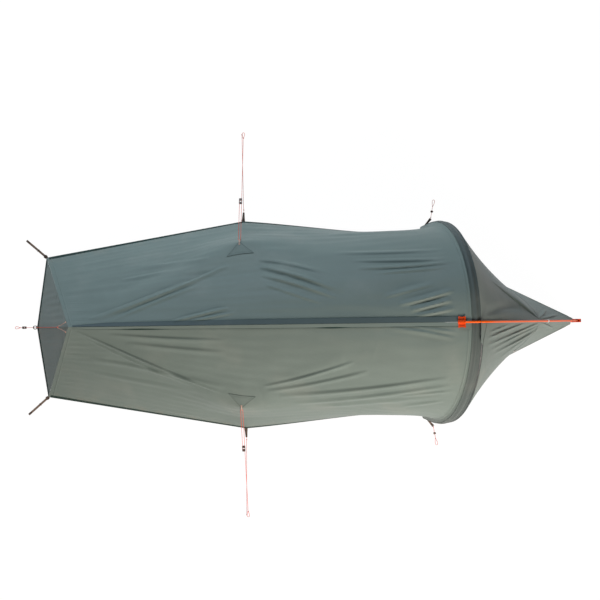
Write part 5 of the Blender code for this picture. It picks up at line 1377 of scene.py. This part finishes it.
@dataclass
class GuyLines:
    """Guy lines with their eyes and knots, routed as the solids are; line-locks keep their own shape."""

    cloth: Cloth
    radius: float = 0.0011
    strand_half: float = 0.0055
    side_lock: Point = (-0.355, 0.64816, 0.24107)
    side_peg: Point = (-0.355, 1.058, 0.0011)
    side_eye: float = 0.040
    eye_lead: float = 0.030
    eye_half: float = 0.006
    rear_peg_x: float = -1.619
    rear_eye: float = 0.030
    rear_lock_at: float = 0.066
    knot_share: float = 0.72
    bridle_half: float = 0.025
    ring_bore: float = 0.0075
    ring_width: float = 0.012
    foot_shift: Pair = (0.020, 0.105)
    foot_eye: float = 0.036
    foot_lock_at: float = 0.040

    def eye(self, end: Array, along: Array, across: Array, length: float) -> list[Array]:
        """Points round the eye that closes a guy line at the ground."""
        half = self.eye_half
        rows = ((1, 0), (0.6, half * 0.8), (0.15, half), (0, 0), (0.15, -half), (0.6, -half * 0.8),
                (0.85, -0.0030))
        return [end - along * (length * back) + across * beyond for back, beyond in rows]

    def lay(self, name: str, node: str, route: list[Array], knots: list[tuple[Array, Array, float]],
            exit_at: Array, far_end: str = "object", finish: Finish = GUY_CORD,
            side: Side = Side.LEFT) -> None:
        """One cord on its route, with its knots; its own length is logged.

        Args:
            name: The piece's name.
            node: The solid that it stands for.
            route: The route's points, as on the left side.
            knots: Place, direction and size of each knot, the size in radii.
            exit_at: Where it leaves the tent.
            far_end: How its far end is finished; not used.
            finish: The cord's finish.
            side: The side it is on.
        """
        route = [side.turn(p) for p in route]
        line = smooth_route(route, 6)
        piece = finish.put(Mesher.tube(name, line, self.radius, 10), "tent", node)
        for k, (place, along, size) in enumerate(knots, 1):
            path = knot_line(side.turn(place), side.turn(along), self.radius * size)
            finish.put(Mesher.tube(f"{name}_knot_{k}", path, self.radius * 0.95, 8))
        length, exit_at = float(run(smooth_route(route, 2))[-1]), side.turn(exit_at)
        tuple(float(c) for c in exit_at)
        LOG.info("%s: %.3f m long", name, length)

    def side_guy(self, side: Side) -> None:
        """The doubled line from a side loop to its lock, and on to the ground."""
        centre, along, lock = LOOP_CENTRE, LOOP_ALONG, np.array(self.side_lock)
        x = X_AXIS * self.strand_half
        end = np.array(self.side_peg) + x
        foot = end - along * self.radius
        turned = [(lock, -1, 0.012), (lock, -1, 0), (lock, -1, -0.02), (centre, -1, 0.012),
                  (centre, -0.95, 0.002), (centre, -0.45, -0.0005), (centre, 0.45, -0.0005),
                  (centre, 0.95, 0.002), (centre, 1, 0.012), (lock, 1, -0.02), (lock, 1, 0),
                  (lock, 1, 0.03), (end - x, 1, -self.side_eye - self.eye_lead)]
        route = [place + x * off + along * far for place, off, far in turned]
        route += self.eye(foot, along, X_AXIS, self.side_eye)
        knots = [(foot - along * self.side_eye * 0.97, along, 1.9), (lock - x + along * 0.0105, along, 1.5)]
        self.lay(f"side_line_{side.word}", f"side_guy_{side.word}", route, knots, route[0], side=side)

    def hem_guy(self, side: Side) -> None:
        """The second line, from a hem tab to the same ground point."""
        tip = self.cloth.hem_root + self.cloth.hem_tab
        peg = np.array(self.side_peg)
        along = unit(peg + vec(0.001, 0, 0) - tip)
        start = tip + along * (self.radius / 2 + FIT)
        end = peg + vec(-0.003, -0.012, 0)
        route = [start, start + along * 0.010 + vec(0.0012, 0, 0), start + along * 0.020]
        route += [mix(start, end, t) for t in (0.3, 0.6, 0.9, 1.0)]
        knots = [(start + along * 0.013, along, 1.7), (end, along, 1.6)]
        self.lay(f"hem_line_{side.word}", f"side_hem_guy_{side.word}", route, knots, start, "knot", side=side)

    def rear_guy(self) -> None:
        """The rear line, from the ground through the ring to the bridle's knot, and the pale bridle."""
        cloth, radius = self.cloth, self.radius
        hem, rise, away = cloth.rear_axes()
        ring = hem + away * (RING_RADIUS + SOLID_LAYER / 2 + FIT)
        apex = ring + rise * ((cloth.rear_apex[0] - ring[0]) / rise[0])
        knot = mix(ring, apex, self.knot_share)
        eye = vec(self.rear_peg_x, 0, radius)
        down = unit(eye - ring)
        rim = radius + FIT + down.dot(away) * self.ring_width / 2
        ring = ring + away * (self.ring_bore + rim / down.dot(rise) + radius / 3)
        down = unit(eye - ring)
        lock = ring + down * self.rear_lock_at
        route = [knot, mix(ring, knot, 0.5), ring + rise * 0.012, ring, ring + down * 0.014,
                 lock - down * 0.012, lock, lock + down * 0.012, *self.eye(eye, down, Y_AXIS, self.rear_eye)]
        knots = [(knot, rise, 2.3), (eye - down * self.rear_eye * 0.97, down, 1.8)]
        self.lay("rear_line", "rear_guy", route, knots, knot)
        legs = [vec(cloth.rear_apex[0] - 0.004, s * self.bridle_half, cloth.rear_apex[2] - 0.004)
                + vec(-0.008, 0, 0.009) for s in (1, -1)]
        front, apart = knot + rise * (radius + FIT * 5), Y_AXIS * 0.003
        bridle = [legs[0], mix(front, legs[0], 0.45), front + apart,
                  front - apart, mix(front, legs[1], 0.45), legs[1]]
        ends = [(bridle[0], bridle[1] - bridle[0], 1.5), (bridle[-1], bridle[-2] - bridle[-1], 1.5)]
        self.lay("rear_bridle_line", "rear_bridle", bridle, ends, bridle[0], "knot", PALE_CORD)

    def foot_guy(self, side: Side) -> None:
        """The short line at a hoop foot."""
        tip = FOOT_TAB_TIP
        end = vec(tip[0] + self.foot_shift[0], tip[1] + self.foot_shift[1], self.radius)
        along = unit(end - tip)
        start = tip + along * (self.radius / 2 + FIT)
        lock = start + along * self.foot_lock_at
        route = [start, start + along * 0.015, lock - along * 0.010, lock, lock + along * 0.010,
                 *self.eye(end, along, unit(vec(along[1], -along[0], 0)), self.foot_eye)]
        knots = [(start + along * 0.004, along, 1.6), (end - along * self.foot_eye * 0.97, along, 1.6)]
        self.lay(f"foot_line_{side.word}", f"foot_guy_{side.word}", route, knots, start, side=side)

    def build(self) -> None:
        """Lay every cord and finish the line-locks."""
        for side in Side:
            self.side_guy(side)
            self.hem_guy(side)
            self.foot_guy(side)
            LOCK_PLASTIC.repaint(f"side_lock_{side.word}")
            LOCK_PLASTIC.repaint(f"foot_lock_{side.word}")
        self.rear_guy()
        LOCK_PLASTIC.repaint("rear_lock")


@dataclass
class Webbing(Sewn):
    """Loops, tabs, straps, hub and pocket: flat webbing with bar-tacks."""

    loop_radius: float = 0.0047
    loop_half: float = 0.0038
    loop_thick: float = 0.0016
    hem_halves: Pair = (0.010, 0.005)
    foot_halves: Pair = (0.0050, 0.0075)
    foot_root: Point = (0.63766, 0.52774, 0.0122)
    ring_middle: float = 0.00925
    ring_thick: float = 0.0030
    ring_half: float = 0.0060
    strap_angle: float = math.radians(139)
    strap_half: float = 0.006
    strap_thick: float = 0.0016
    strap_ends: Pair = (-0.060, 0.145)
    strap_drop: float = 0.0036
    keeper_at: float = 0.060
    double_ends: Pair = (0.052, 0.074)
    hub_middle: Point = (0.66655, 0.0, 0.9686)
    hub_along: Point = (0.91361, 0.0, 0.4066)
    hub_up: Point = (-0.4066, 0.0, 0.91361)
    hub_length: float = 0.033
    hub_half: float = 0.026
    hub_depth: float = -0.0033
    hub_slope: float = -0.0532
    hub_layers: float = 0.00225
    tunnel_radius: float = 0.0069
    tip_x: float = 1.46784

    def tack(self, name: str, place: Array, along: Array, up: Array, half: float, body: str = "tent") -> None:
        """A bar-tack: a dense band of thread across a webbing.

        Args:
            name: The piece's name.
            place: Its middle, on the webbing's face.
            along: The webbing's direction.
            up: The face's normal.
            half: Half of its width across.
            body: The body that it rides on.
        """
        share = np.linspace(-1, 1, 25)[:, None]
        sway = 0.0009 * np.where(np.arange(25) % 2, 1, -1)[:, None]
        line = place + unit(np.cross(up, along)) * half * share + along * sway + up * 0.0002
        BINDING.put(Mesher.tube(name, line, 0.00035, 6), body)

    def side_loop(self, side: Side) -> None:
        """The pale webbing loop at a patch's tip, its two ends sewn to the patch."""
        away, reach, word = self.cloth.away(LOOP_CENTRE), self.loop_radius, side.word
        normal = unit(np.cross(X_AXIS, LOOP_ALONG))
        ring = loop(LOOP_CENTRE, LOOP_ALONG * reach, normal * reach, np.linspace(-2.45, 2.45, 33))
        patch = self.cloth.panel(np.full(7, self.cloth.guy_u), np.linspace(0.598, 0.578, 7), Side.LEFT)
        low, high = patch + away * 0.0023, patch + away * 0.0038
        bend = unit(vec(0, -0.62, 0.78)) * 0.0008
        ends = [mix(end, tail[0], 0.5) + bend for end, tail in ((ring[0], low), (ring[-1], high))]
        line = side.turn(smooth_route([*low[::-1], ends[0], *ring[1:-1:3], ends[1], *high], 3))
        self.ribbon(f"guy_loop_{word}", line, X_AXIS, self.loop_half, self.loop_thick, PALE_WEB,
                    node=f"side_loop_{word}")
        place, along = side.turn(high[3] + away * 0.0009), side.turn(vec(0, -0.85, 0.52))
        self.tack(f"guy_loop_tack_{word}", place, along, side.turn(away), 0.0034)

    def tab(self, name: str, node: str, root: Array, tip: Array, halves: Pair) -> None:
        """A tapered webbing tab, folded double and tacked.

        Args:
            name: The piece's name.
            node: The solid it stands for.
            root: Where it is sewn on.
            tip: Its free end.
            halves: Half widths at the root and the tip.
        """
        along = unit(tip - root)
        across = unit(np.cross(Z_AXIS, along))
        up, face = np.cross(along, across), TAB_THICK / 2
        share = np.linspace(0, 1, 40)
        line = mix(root, tip, share[:, None])
        half = mix(*halves, share) * (1 - 0.10 * np.sin(math.pi * share))
        self.ribbon(name, line, across, half, TAB_THICK, BROWN_WEB, node=node)
        upper, inner = line[6:36] + up * (face + 0.0004), half[6:36] * 0.86
        self.ribbon(f"{name}_fold", upper, across, inner, 0.0010, BROWN_WEB)
        for k, at in enumerate((0.22, 0.78), 1):
            place = mix(root, tip, at) + up * (face + 0.0010)
            self.tack(f"{name}_tack_{k}", place, along, up, mix(*halves, at) * 0.7)
        for k, row in enumerate((-0.66, 0.66), 1):
            path = upper + across * (inner * row)[:, None] + up * 0.0006
            self.stitch(f"{name}_stitch_{k}", path, up, finish=PALE_THREAD, pitch=0.0028, thread=0.00025)

    def corner(self, side: Side) -> None:
        """A rear corner: the anchor webbing, the ladder-lock buckle and the strap that slides in it."""
        word, up, body, end = side.word, Z_AXIS, f"strap_{side.word}", self.strap_ends[1]
        along = vec(math.cos(self.strap_angle), math.sin(self.strap_angle) * side.value, 0)
        across = np.cross(up, along)
        root = side.turn(self.cloth.corner) - up * self.strap_drop + along * (SOLID_LAYER / 2 + FIT)
        reach = np.linspace(*self.strap_ends, 70)[:, None]
        wave = np.sin((reach - 0.02) * 60) * 0.0003 * np.clip((reach - 0.02) * 20, 0, 1)
        self.ribbon(f"corner_webbing_{word}", root + along * reach + up * wave, across, self.strap_half,
                    self.strap_thick, STRAP_WEB, body, f"corner_strap_{word}")
        hem, double = (root + along * np.linspace(*ends)[:, None] + up * 0.0017
                       for ends in ((end - 0.020, end - 0.0005, 14), (*self.double_ends, 16)))
        place, half = root + along * (end - 0.017) + up * 0.0025, self.strap_half * 0.97
        self.ribbon(f"strap_hem_{word}", hem, across, half, 0.0014, BROWN_WEB, body)
        self.tack(f"strap_hem_tack_{word}", place, along, up, 0.0048, body)
        self.ribbon(f"strap_double_{word}", double, across, half, 0.0014, STRAP_WEB, body)
        wide, low, high = self.strap_half + 0.0010, -0.0014, 0.0030
        keeper = [root + along * self.keeper_at + across * (a * wide) + up * z
                  for a, z in ((-1, low), (1, low), (1, high), (-1, high), (-1, low))]
        ELASTIC.put(Mesher.tube(f"strap_keeper_{word}", smooth_route(keeper, 4), 0.0009, 8), body)
        inward = unit(side.turn(vec(0.72, -0.66, 0.18)))
        anchor = [root + course * far + up * z for course, far, z in (
            (along, 0.0045, 0.0036), (along, 0, 0.0042), (inward, 0.010, 0.0040), (inward, 0.020, 0.0046),
            (inward, 0.028, 0.0052))]
        self.ribbon(f"corner_anchor_{word}", smooth_route(anchor, 4), across, 0.0056, 0.0014, BROWN_WEB)
        self.tack(f"corner_anchor_tack_{word}", anchor[3] + up * 0.0011, inward, up, 0.0046)
        BUCKLE_PLASTIC.repaint(f"corner_buckle_{word}")

    def ring(self) -> None:
        """The webbing ring on the rear hem."""
        hem, along, away = self.cloth.rear_axes()
        centre, reach = hem + away * (RING_RADIUS + SOLID_LAYER / 2 + FIT), self.ring_middle
        line = loop(centre, -away * reach, Y_AXIS * reach, np.linspace(0, TURN, 41))
        self.ribbon("rear_ring_webbing", line, along, self.ring_half, self.ring_thick, BROWN_WEB,
                    node="rear_ring")
        seat = hem + along * np.linspace(0.004, 0.026, 10)[:, None] + away * 0.0022
        self.ribbon("rear_ring_tail", seat, Y_AXIS, 0.0058, 0.0014, BROWN_WEB)
        self.tack("rear_ring_tack", seat[6] + away * 0.0009, along, away, 0.0048)

    def hub(self) -> None:
        """The orange hub behind the crown: a saddle with a tunnel for the strut's end."""
        middle, along, up = vec(*self.hub_middle), vec(*self.hub_along), vec(*self.hub_up)
        share = np.linspace(-1, 1, 30)
        line = middle + along * (share * self.hub_length / 2)[:, None]
        turn, outer = np.linspace(0, math.pi, 15), self.tunnel_radius
        wing = np.linspace(self.hub_half * (0.90 + 0.10 * share ** 2), outer + 0.0012, 8).T
        arch = np.broadcast_to(outer * np.cos(turn), (30, 15))
        across = np.concatenate([wing, arch, -wing[:, ::-1]], axis=1)
        under = self.hub_depth + self.hub_slope * np.abs(across)
        height = np.maximum(np.pad(outer * np.sin(turn), 8, constant_values=-1), under + self.hub_layers)
        shape = np.stack([np.concatenate([across, across[:, ::-1]], axis=1),
                          np.concatenate([height, under[:, ::-1] + 0.0001], axis=1)], -1)
        ORANGE_WEB.put(Mesher.sweep("hub_webbing", line, Y_AXIS, up, shape, 50.0), "tent", "hub_bracket")
        for k, s in enumerate((-1, 1)):
            rows = [Y_AXIS * (s * at) + up * (self.hub_depth + self.hub_layers + self.hub_slope * at + 0.0002)
                    for at in (0.0098, 0.0225, 0.0162)]
            for row in (0, 1):
                self.stitch(f"hub_stitch_{k}_{row}", line[2:-2] + rows[row], up, finish=BINDING, pitch=0.0032)
            self.tack(f"hub_tack_{k}", middle + rows[2], Y_AXIS * s, up, 0.0125)

    def pocket(self) -> None:
        """The orange pocket at the front tip: a base strap and a wrap round the strut's tip."""
        tip = X_AXIS * self.tip_x
        base = [tip + vec(x, 0, z) for x, z in ((-0.034, 0.0135), (-0.022, 0.0105), (-0.008, 0.0062),
                                                (0.006, 0.0054), (0.016, 0.0056), (0.025, 0.0066))]
        self.ribbon("pocket_base", smooth_route(base, 6), Y_AXIS, 0.0093, 0.0022, ORANGE_WEB,
                    node="front_pole_pocket")
        wrap = [tip + vec(*at) for at in ((-0.026, 0.0086, 0.0235), (-0.010, 0.0080, 0.0205),
                                          (0.004, 0.00736, 0.0160), (0.0115, 0.0040, 0.0145))]
        back = [Side.RIGHT.turn(at) for at in wrap[::-1]]
        line = smooth_route([*wrap, tip + vec(0.0130, 0, 0.0140), *back], 5)
        tall = 0.0088 + 0.0030 * np.abs(np.linspace(-1, 1, len(line))) ** 1.5
        self.ribbon("pocket_wrap", line, Z_AXIS, tall, 0.0018, ORANGE_WEB)
        # Two dark lines in a vee over the pocket: painted shadow beside the strut's tip.
        for k, s in enumerate((-1, 1)):
            start, end = tip + vec(-0.001, s * 0.0072, 0.0075), tip + vec(0.022, s * 0.0012, 0.0078)
            path = mix(start, end, np.linspace(0, 1, 12)[:, None])
            BINDING.put(Mesher.tube(f"pocket_vee_{k}", path, 0.0011, 8))
        self.tack("pocket_tack", tip + vec(0.023, 0, 0.0086), X_AXIS, Z_AXIS, 0.0070)

    def pull(self) -> None:
        """The orange zip pull: a folded webbing tab with a bar-tack."""
        hoop, middle, out = self.cloth.hoop, np.mean(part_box("zip_pull"), axis=0), -Y_AXIS
        leg = unit(hoop.point(-hoop.at_height(0.20)) - hoop.point(-hoop.at_height(0.06)))
        share = np.linspace(-1, 1, 24)
        line = middle + leg * (share * 0.0126)[:, None] + out * (0.0003 * np.cos(share * 2))[:, None]
        half = 0.0030 - 0.0016 * np.clip(share - 0.6, 0, 1)
        self.ribbon("pull_webbing", line, hoop.normal, half, 0.0012, ORANGE_WEB, "pull", "zip_pull")
        self.tack("pull_tack", middle + leg * 0.007 + out * 0.0009, leg, out, 0.0022, "pull")

    def build(self) -> None:
        """Make every webbing piece."""
        hem = self.cloth.hem_root
        for side in Side:
            word = side.word
            self.side_loop(side)
            self.tab(f"hem_tab_{word}", f"side_hem_tab_{word}", side.turn(hem),
                     side.turn(hem + self.cloth.hem_tab), self.hem_halves)
            self.tab(f"foot_tab_{word}", f"hoop_foot_tab_{word}", side.turn(vec(*self.foot_root)),
                     side.turn(FOOT_TAB_TIP), self.foot_halves)
            self.corner(side)
            BLACK_PLASTIC.repaint(f"pole_cup_{word}")
        self.ring()
        self.hub()
        self.pocket()
        self.pull()
        CLIP_PLASTIC.repaint("strut_clip")


@dataclass
class InnerTent(Sewn):
    """The inner tent: a tray of coated cloth, walls of light cloth and a netting door."""

    rear_x: float = -1.350
    front_x: float = 0.607
    rear_half: float = 0.265
    front_half: float = 0.400
    tray: float = 0.100
    tray_share: float = 0.90
    crest_rear: Pair = (-1.175, 0.350)
    crest_front_z: float = 0.885
    sag_share: float = 0.30
    bulge: float = 0.045
    bulge_ends: Pair = (0.4, 1.6)
    hangers: Point = (0.06, 0.50, 0.94)
    foot_share: float = 0.93
    door_base_half: float = 0.250
    door_top_half: float = 0.150
    door_top: float = 0.480
    door_gap: float = 0.0009
    edge: float = 0.0005
    inset: float = 0.0006

    def section(self, t: Array, w: Array) -> Array:
        """The left wall's smooth surface: t from foot to head, w from the tray's rim to the ridge."""
        half = mix(self.rear_half, self.front_half, t) - self.inset
        base = np.stack([mix(self.rear_x, self.front_x, t), half,
                         np.full_like(t, self.tray + self.edge)], -1)
        rise = self.crest_front_z - self.crest_rear[1]
        crest = np.stack([mix(self.crest_rear[0], self.front_x, t), np.zeros_like(t),
                          self.crest_rear[1] + t * rise - self.sag_share * t * (1 - t) * rise], -1)
        bow = self.bulge * mix(*self.bulge_ends, t) * np.sin(math.pi * w)
        return mix(base, crest, w[..., None]) + vec(0, 0.8, 0.6) * bow[..., None]

    def walls(self) -> None:
        """The side walls, with folds that run from the tray to the hangers, and the tape on their ridge."""
        t, w = grid(np.linspace(0.001, 0.998, 170), np.linspace(0, 1, 70))
        pull = sum(np.exp(-((t - h) / 0.05) ** 2) for h in self.hangers)
        folds = 0.00525 * np.sin(TURN * t / 0.035) * np.clip(w - 0.55, 0, 1) * pull
        for side in Side:
            points = self.section(t, w)
            waves = ripples(w * 0.8, t * 1.95, 131 + side.value, 0.09, 0.0022)
            points[..., 1] += (waves + folds - 0.0020) * np.sin(math.pi * w) * least(12 * t, 12 * (1 - t))
            points[..., 1] = np.maximum(points[..., 1], 0.0008)
            self.sheet(f"inner_cloth_{side.word}", f"inner_wall_{side.word}", side.turn(points),
                       vec(0, side.value, 0.6), INNER_CLOTH, "hung",
                       ["inner_hanger_1", "inner_hanger_2", "inner_hanger_3", "groundsheet"])
        t = np.linspace(0.004, 0.995, 160)
        crest = self.section(t, np.ones_like(t)) * vec(1, 0, 1) + vec(0, 0, 0.0008)
        self.tape("inner_ridge_tape", crest, Y_AXIS, beside(crest, Y_AXIS), 0.006, 0.0009, PALE_TAPE)

    def ends(self) -> None:
        """The foot wall, and the head wall round its doorway."""
        w, s = grid(np.linspace(0, self.foot_share, 40), np.linspace(-1, 1, 60))
        points = self.section(np.zeros_like(w), w) - vec(self.edge, 0.0007, 0)
        points[..., 1] *= s
        swell = np.sin(math.pi * w / self.foot_share) * (1 - s * s)
        points[..., 0] += ripples(s * 0.5, w * 0.5, 141, 0.08, 0.0012) * swell
        self.sheet("inner_cloth_foot", "inner_foot_wall", points, vec(-1, 0, 0.3), INNER_CLOTH, "hung",
                   ["inner_hanger_1", "groundsheet"])
        up = np.linspace(0, 1, 60)
        rim = self.section(np.ones_like(up), up)[:, 1:]
        rim = np.concatenate([rim, (rim * [-1, 1])[-2::-1]])
        lean = (self.door_base_half - self.door_top_half) / (self.door_top - self.tray)
        head, sill = self.door_top + self.door_gap, self.tray + self.edge
        low = self.door_base_half + self.door_gap
        high = low - lean * (head - self.tray)
        gate = np.array([(low, sill), (high, head), (-high, head), (-low, sill)])
        inner, outer = (pick(np.linspace(0, run(path)[-1], 121), run(path), path) for path in (gate, rim))
        share = np.linspace(0, 1, 40)[:, None]
        flat = mix(inner, outer, share[..., None])
        bump = ripples(flat[..., 0], flat[..., 1], 151, 0.12, 0.0007) * np.sin(math.pi * share)
        points = np.concatenate([(self.front_x - self.edge + bump)[..., None], flat], -1)
        self.sheet("inner_cloth_head", "inner_head_wall", points, X_AXIS, INNER_CLOTH, "stretched",
                   ["inner_wall_left", "inner_wall_right", "groundsheet"])

    def door(self) -> None:
        """The netting door on its hinge line, with a bound edge and a zip along both sides."""
        s, h = grid(np.linspace(-1, 1, 60), np.linspace(0, 1, 50))
        waves = ripples(s * 0.3, h * 0.4, 161, 0.10, 0.0008) * (1 - s * s) * np.sin(math.pi * h)
        half = mix(self.door_base_half, self.door_top_half, h)
        points = np.stack([self.front_x - self.edge + waves, s * half,
                           mix(self.tray + self.door_gap, self.door_top, h)], -1)
        self.sheet("inner_door_net", "inner_door", points, X_AXIS, INNER_NET, "stretched",
                   ["inner_head_wall"], "inner_door", 0.0004)
        centre = points.mean(axis=(0, 1))
        for name, rim in (("left", points[-1]), ("right", points[0]), ("top", points[:, -1])):
            inward = unit((centre - rim.mean(axis=0)) * vec(0, 1, 1))
            line = (rim + inward * 0.0035 + X_AXIS * 0.0003)[1:-1]
            self.tape(f"inner_door_tape_{name}", line, inward, X_AXIS, 0.0034, 0.0009, ZIP_TAPE, "inner_door")

    def floor(self) -> None:
        """The tray: a floor with raised walls, in one folded sheet."""
        s, t = grid(np.linspace(-1, 1, 121), np.linspace(-1, 1, 101))
        most, at = np.maximum(np.abs(s), np.abs(t)), self.tray_share
        grow = 1 / np.maximum(most, at)
        share = (s * grow + 1) / 2
        half = mix(self.rear_half, self.front_half, share) - self.inset
        x, y = mix(self.rear_x + self.inset, self.front_x - self.inset, share), t * grow * half
        z = np.clip((most - at) / (1 - at), 0, 1) * (self.tray - 0.0004) + self.inset
        z = z + (0.0012 + ripples(x, y, 171, 0.16, 0.0009)) * np.clip((at - most) * 12, 0, 1)
        points = np.stack([x, y, np.maximum(z, self.inset)], -1)
        self.sheet("tray_cloth", "groundsheet", points, Z_AXIS, FLOOR_CLOTH, "laid", ["inner_wall_left"],
                   thick=0.0006)

    def hang(self) -> None:
        """Elastic hangers with a small ring at each end."""
        for n in (1, 2, 3):
            low, high = (np.array(p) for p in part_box(f"inner_hanger_{n}"))
            x = (low[0] + high[0]) / 2
            foot, head = vec(x, 0, low[2] + 0.0005), vec(x, 0, high[2] - 0.0005)
            share = np.linspace(0, 1, 24)
            swell = 0.0019 * (1 + 0.25 * np.cos(share * TURN * 7))
            elastic = Mesher.tube(f"hanger_elastic_{n}", mix(foot, head, share[:, None]), swell, 12)
            ELASTIC.put(elastic, "tent", f"inner_hanger_{n}")
            for tag, place, lift in (("low", foot, 0.0028), ("high", head, -0.0028)):
                ring = loop(place + Z_AXIS * lift, Y_AXIS * 0.0022, Z_AXIS * 0.0022, np.linspace(0, TURN, 25))
                BLACK_PLASTIC.put(Mesher.tube(f"hanger_ring_{tag}_{n}", ring, 0.0007, 8))

    def build(self) -> None:
        """Make the whole inner tent."""
        self.floor()
        self.walls()
        self.ends()
        self.door()
        self.hang()


@dataclass
class Studio:
    """Camera, lamps, floor and backdrop."""

    camera_place: Point = (-0.052, 0.0, 5.0)
    lens: float = 54.5
    sensor: float = 36.0
    roll: float = math.radians(-0.74)
    shift_y: float = 0.0402
    clip_end: float = 60.0
    aim: Point = (0.0, 0.0, 0.35)
    floor_half: float = 9.0
    floor_z: float = -0.0006
    shown_white: float = 1.045
    shown_shade: float = 0.06

    @staticmethod
    def link(name: str, data: bpy.types.ID) -> Obj:
        """A new object in the scene."""
        obj = bpy.data.objects.new(name, data)
        bpy.context.scene.collection.objects.link(obj)
        return obj

    @staticmethod
    def clear(owner: bpy.types.ID) -> Nodes:
        """The emptied shader tree of a material or world."""
        owner.use_nodes = True
        owner.node_tree.nodes.clear()
        return Nodes(owner.node_tree)

    def camera(self) -> None:
        """The camera straight above the tent, turned a little about its axis."""
        data = bpy.data.cameras.new("camera")
        data.lens, data.sensor_width, data.shift_y = self.lens, self.sensor, self.shift_y
        data.clip_end = self.clip_end
        camera = self.link("camera", data)
        camera.location = self.camera_place
        camera.rotation_euler = (0.0, 0.0, self.roll)
        bpy.context.scene.camera = camera

    def lamp(self, name: str, place: Point, size: Pair, energy: float, colour: Colour) -> None:
        """One soft box aimed at the tent's middle."""
        data = bpy.data.lights.new(name, "AREA")
        data.shape, data.size, data.size_y = "RECTANGLE", size[0], size[1]
        data.energy, data.color = energy, colour
        lamp = self.link(name, data)
        lamp.location = place
        lamp.rotation_euler = (Vector(self.aim) - Vector(place)).to_track_quat("-Z", "Y").to_euler()

    def floor(self) -> None:
        """A plain floor, white to the camera, a reflection or glass, that can't be seen from below.

        The camera sees a little of the lit surface too, which carries the tent's shadow.
        """
        mesh = bpy.data.meshes.new("floor")
        corners = [(x * self.floor_half, y * self.floor_half, self.floor_z) for x, y in
                   ((-1, -1), (1, -1), (1, 1), (-1, 1))]
        mesh.from_pydata(corners, [], [(0, 1, 2, 3)])
        floor = self.link("floor", mesh)
        made = bpy.data.materials.new("studio_floor")
        nodes = self.clear(made)
        lit = nodes.add("ShaderNodeBsdfDiffuse", Color=(0.86, 0.86, 0.86, 1.0)).outputs[0]
        path = nodes.add("ShaderNodeLightPath").outputs
        seen = nodes.math("MAXIMUM", path["Is Glossy Ray"], path["Is Transmission Ray"])
        seen = nodes.math("MAXIMUM", path["Is Camera Ray"], seen)
        glow = nodes.add("ShaderNodeEmission", Color=(1.0, 1.0, 1.0, 1.0), Strength=self.shown_white)
        share = nodes.times(seen, 1.0 - self.shown_shade)
        shown = nodes.add("ShaderNodeMixShader", in_0=share, in_1=lit, in_2=glow.outputs[0]).outputs[0]
        back = nodes.add("ShaderNodeNewGeometry").outputs["Backfacing"]
        none = nodes.add("ShaderNodeBsdfTransparent").outputs[0]
        last = nodes.add("ShaderNodeMixShader", in_0=back, in_1=shown, in_2=none).outputs[0]
        nodes.add("ShaderNodeOutputMaterial", Surface=last)
        mesh.materials.append(made)

    def world(self) -> None:
        """A white surround for the camera, and a low even light for the tent."""
        world = bpy.context.scene.world = bpy.data.worlds.new("studio")
        nodes = self.clear(world)
        seen = nodes.add("ShaderNodeLightPath").outputs["Is Camera Ray"]
        fill = nodes.add("ShaderNodeBackground", Color=(0.96, 0.98, 1.0, 1.0), Strength=0.07).outputs[0]
        white = nodes.add("ShaderNodeBackground", Color=(1.0, 1.0, 1.0, 1.0), Strength=1.0).outputs[0]
        shown = nodes.add("ShaderNodeMixShader", in_0=seen, in_1=fill, in_2=white).outputs[0]
        nodes.add("ShaderNodeOutputWorld", Surface=shown)

    def build(self) -> None:
        """Place everything that isn't the tent."""
        bpy.context.scene.view_settings.view_transform = "Standard"
        self.camera()
        self.floor()
        self.world()
        self.lamp("warm_box", (1.2, -3.3, 3.3), (2.2, 1.6), 260.0, (1.0, 0.82, 0.71))
        self.lamp("cool_box", (-1.7, 4.1, 1.8), (2.4, 1.2), 136.0, (0.85, 0.91, 1.0))


def main() -> None:
    """Build the studio and every sub-assembly."""
    logging.basicConfig(level=logging.INFO, format="%(message)s")
    Studio().build()
    cloth = Cloth(Hoop())
    for kind in (GuyLines, Flysheet, Sleeve, Vestibule, Webbing, InnerTent):
        kind(cloth).build()
        LOG.info("%s made", kind.__name__)
    for node in [f"hoop_pole_{n}" for n in range(1, 7)] + ["foot_pole"]:
        POLE_METAL.repaint(node)
    for node in [f"strut_pole_{n}" for n in range(1, 4)]:
        STRUT_METAL.repaint(node)


if __name__ == "__main__":
    main()
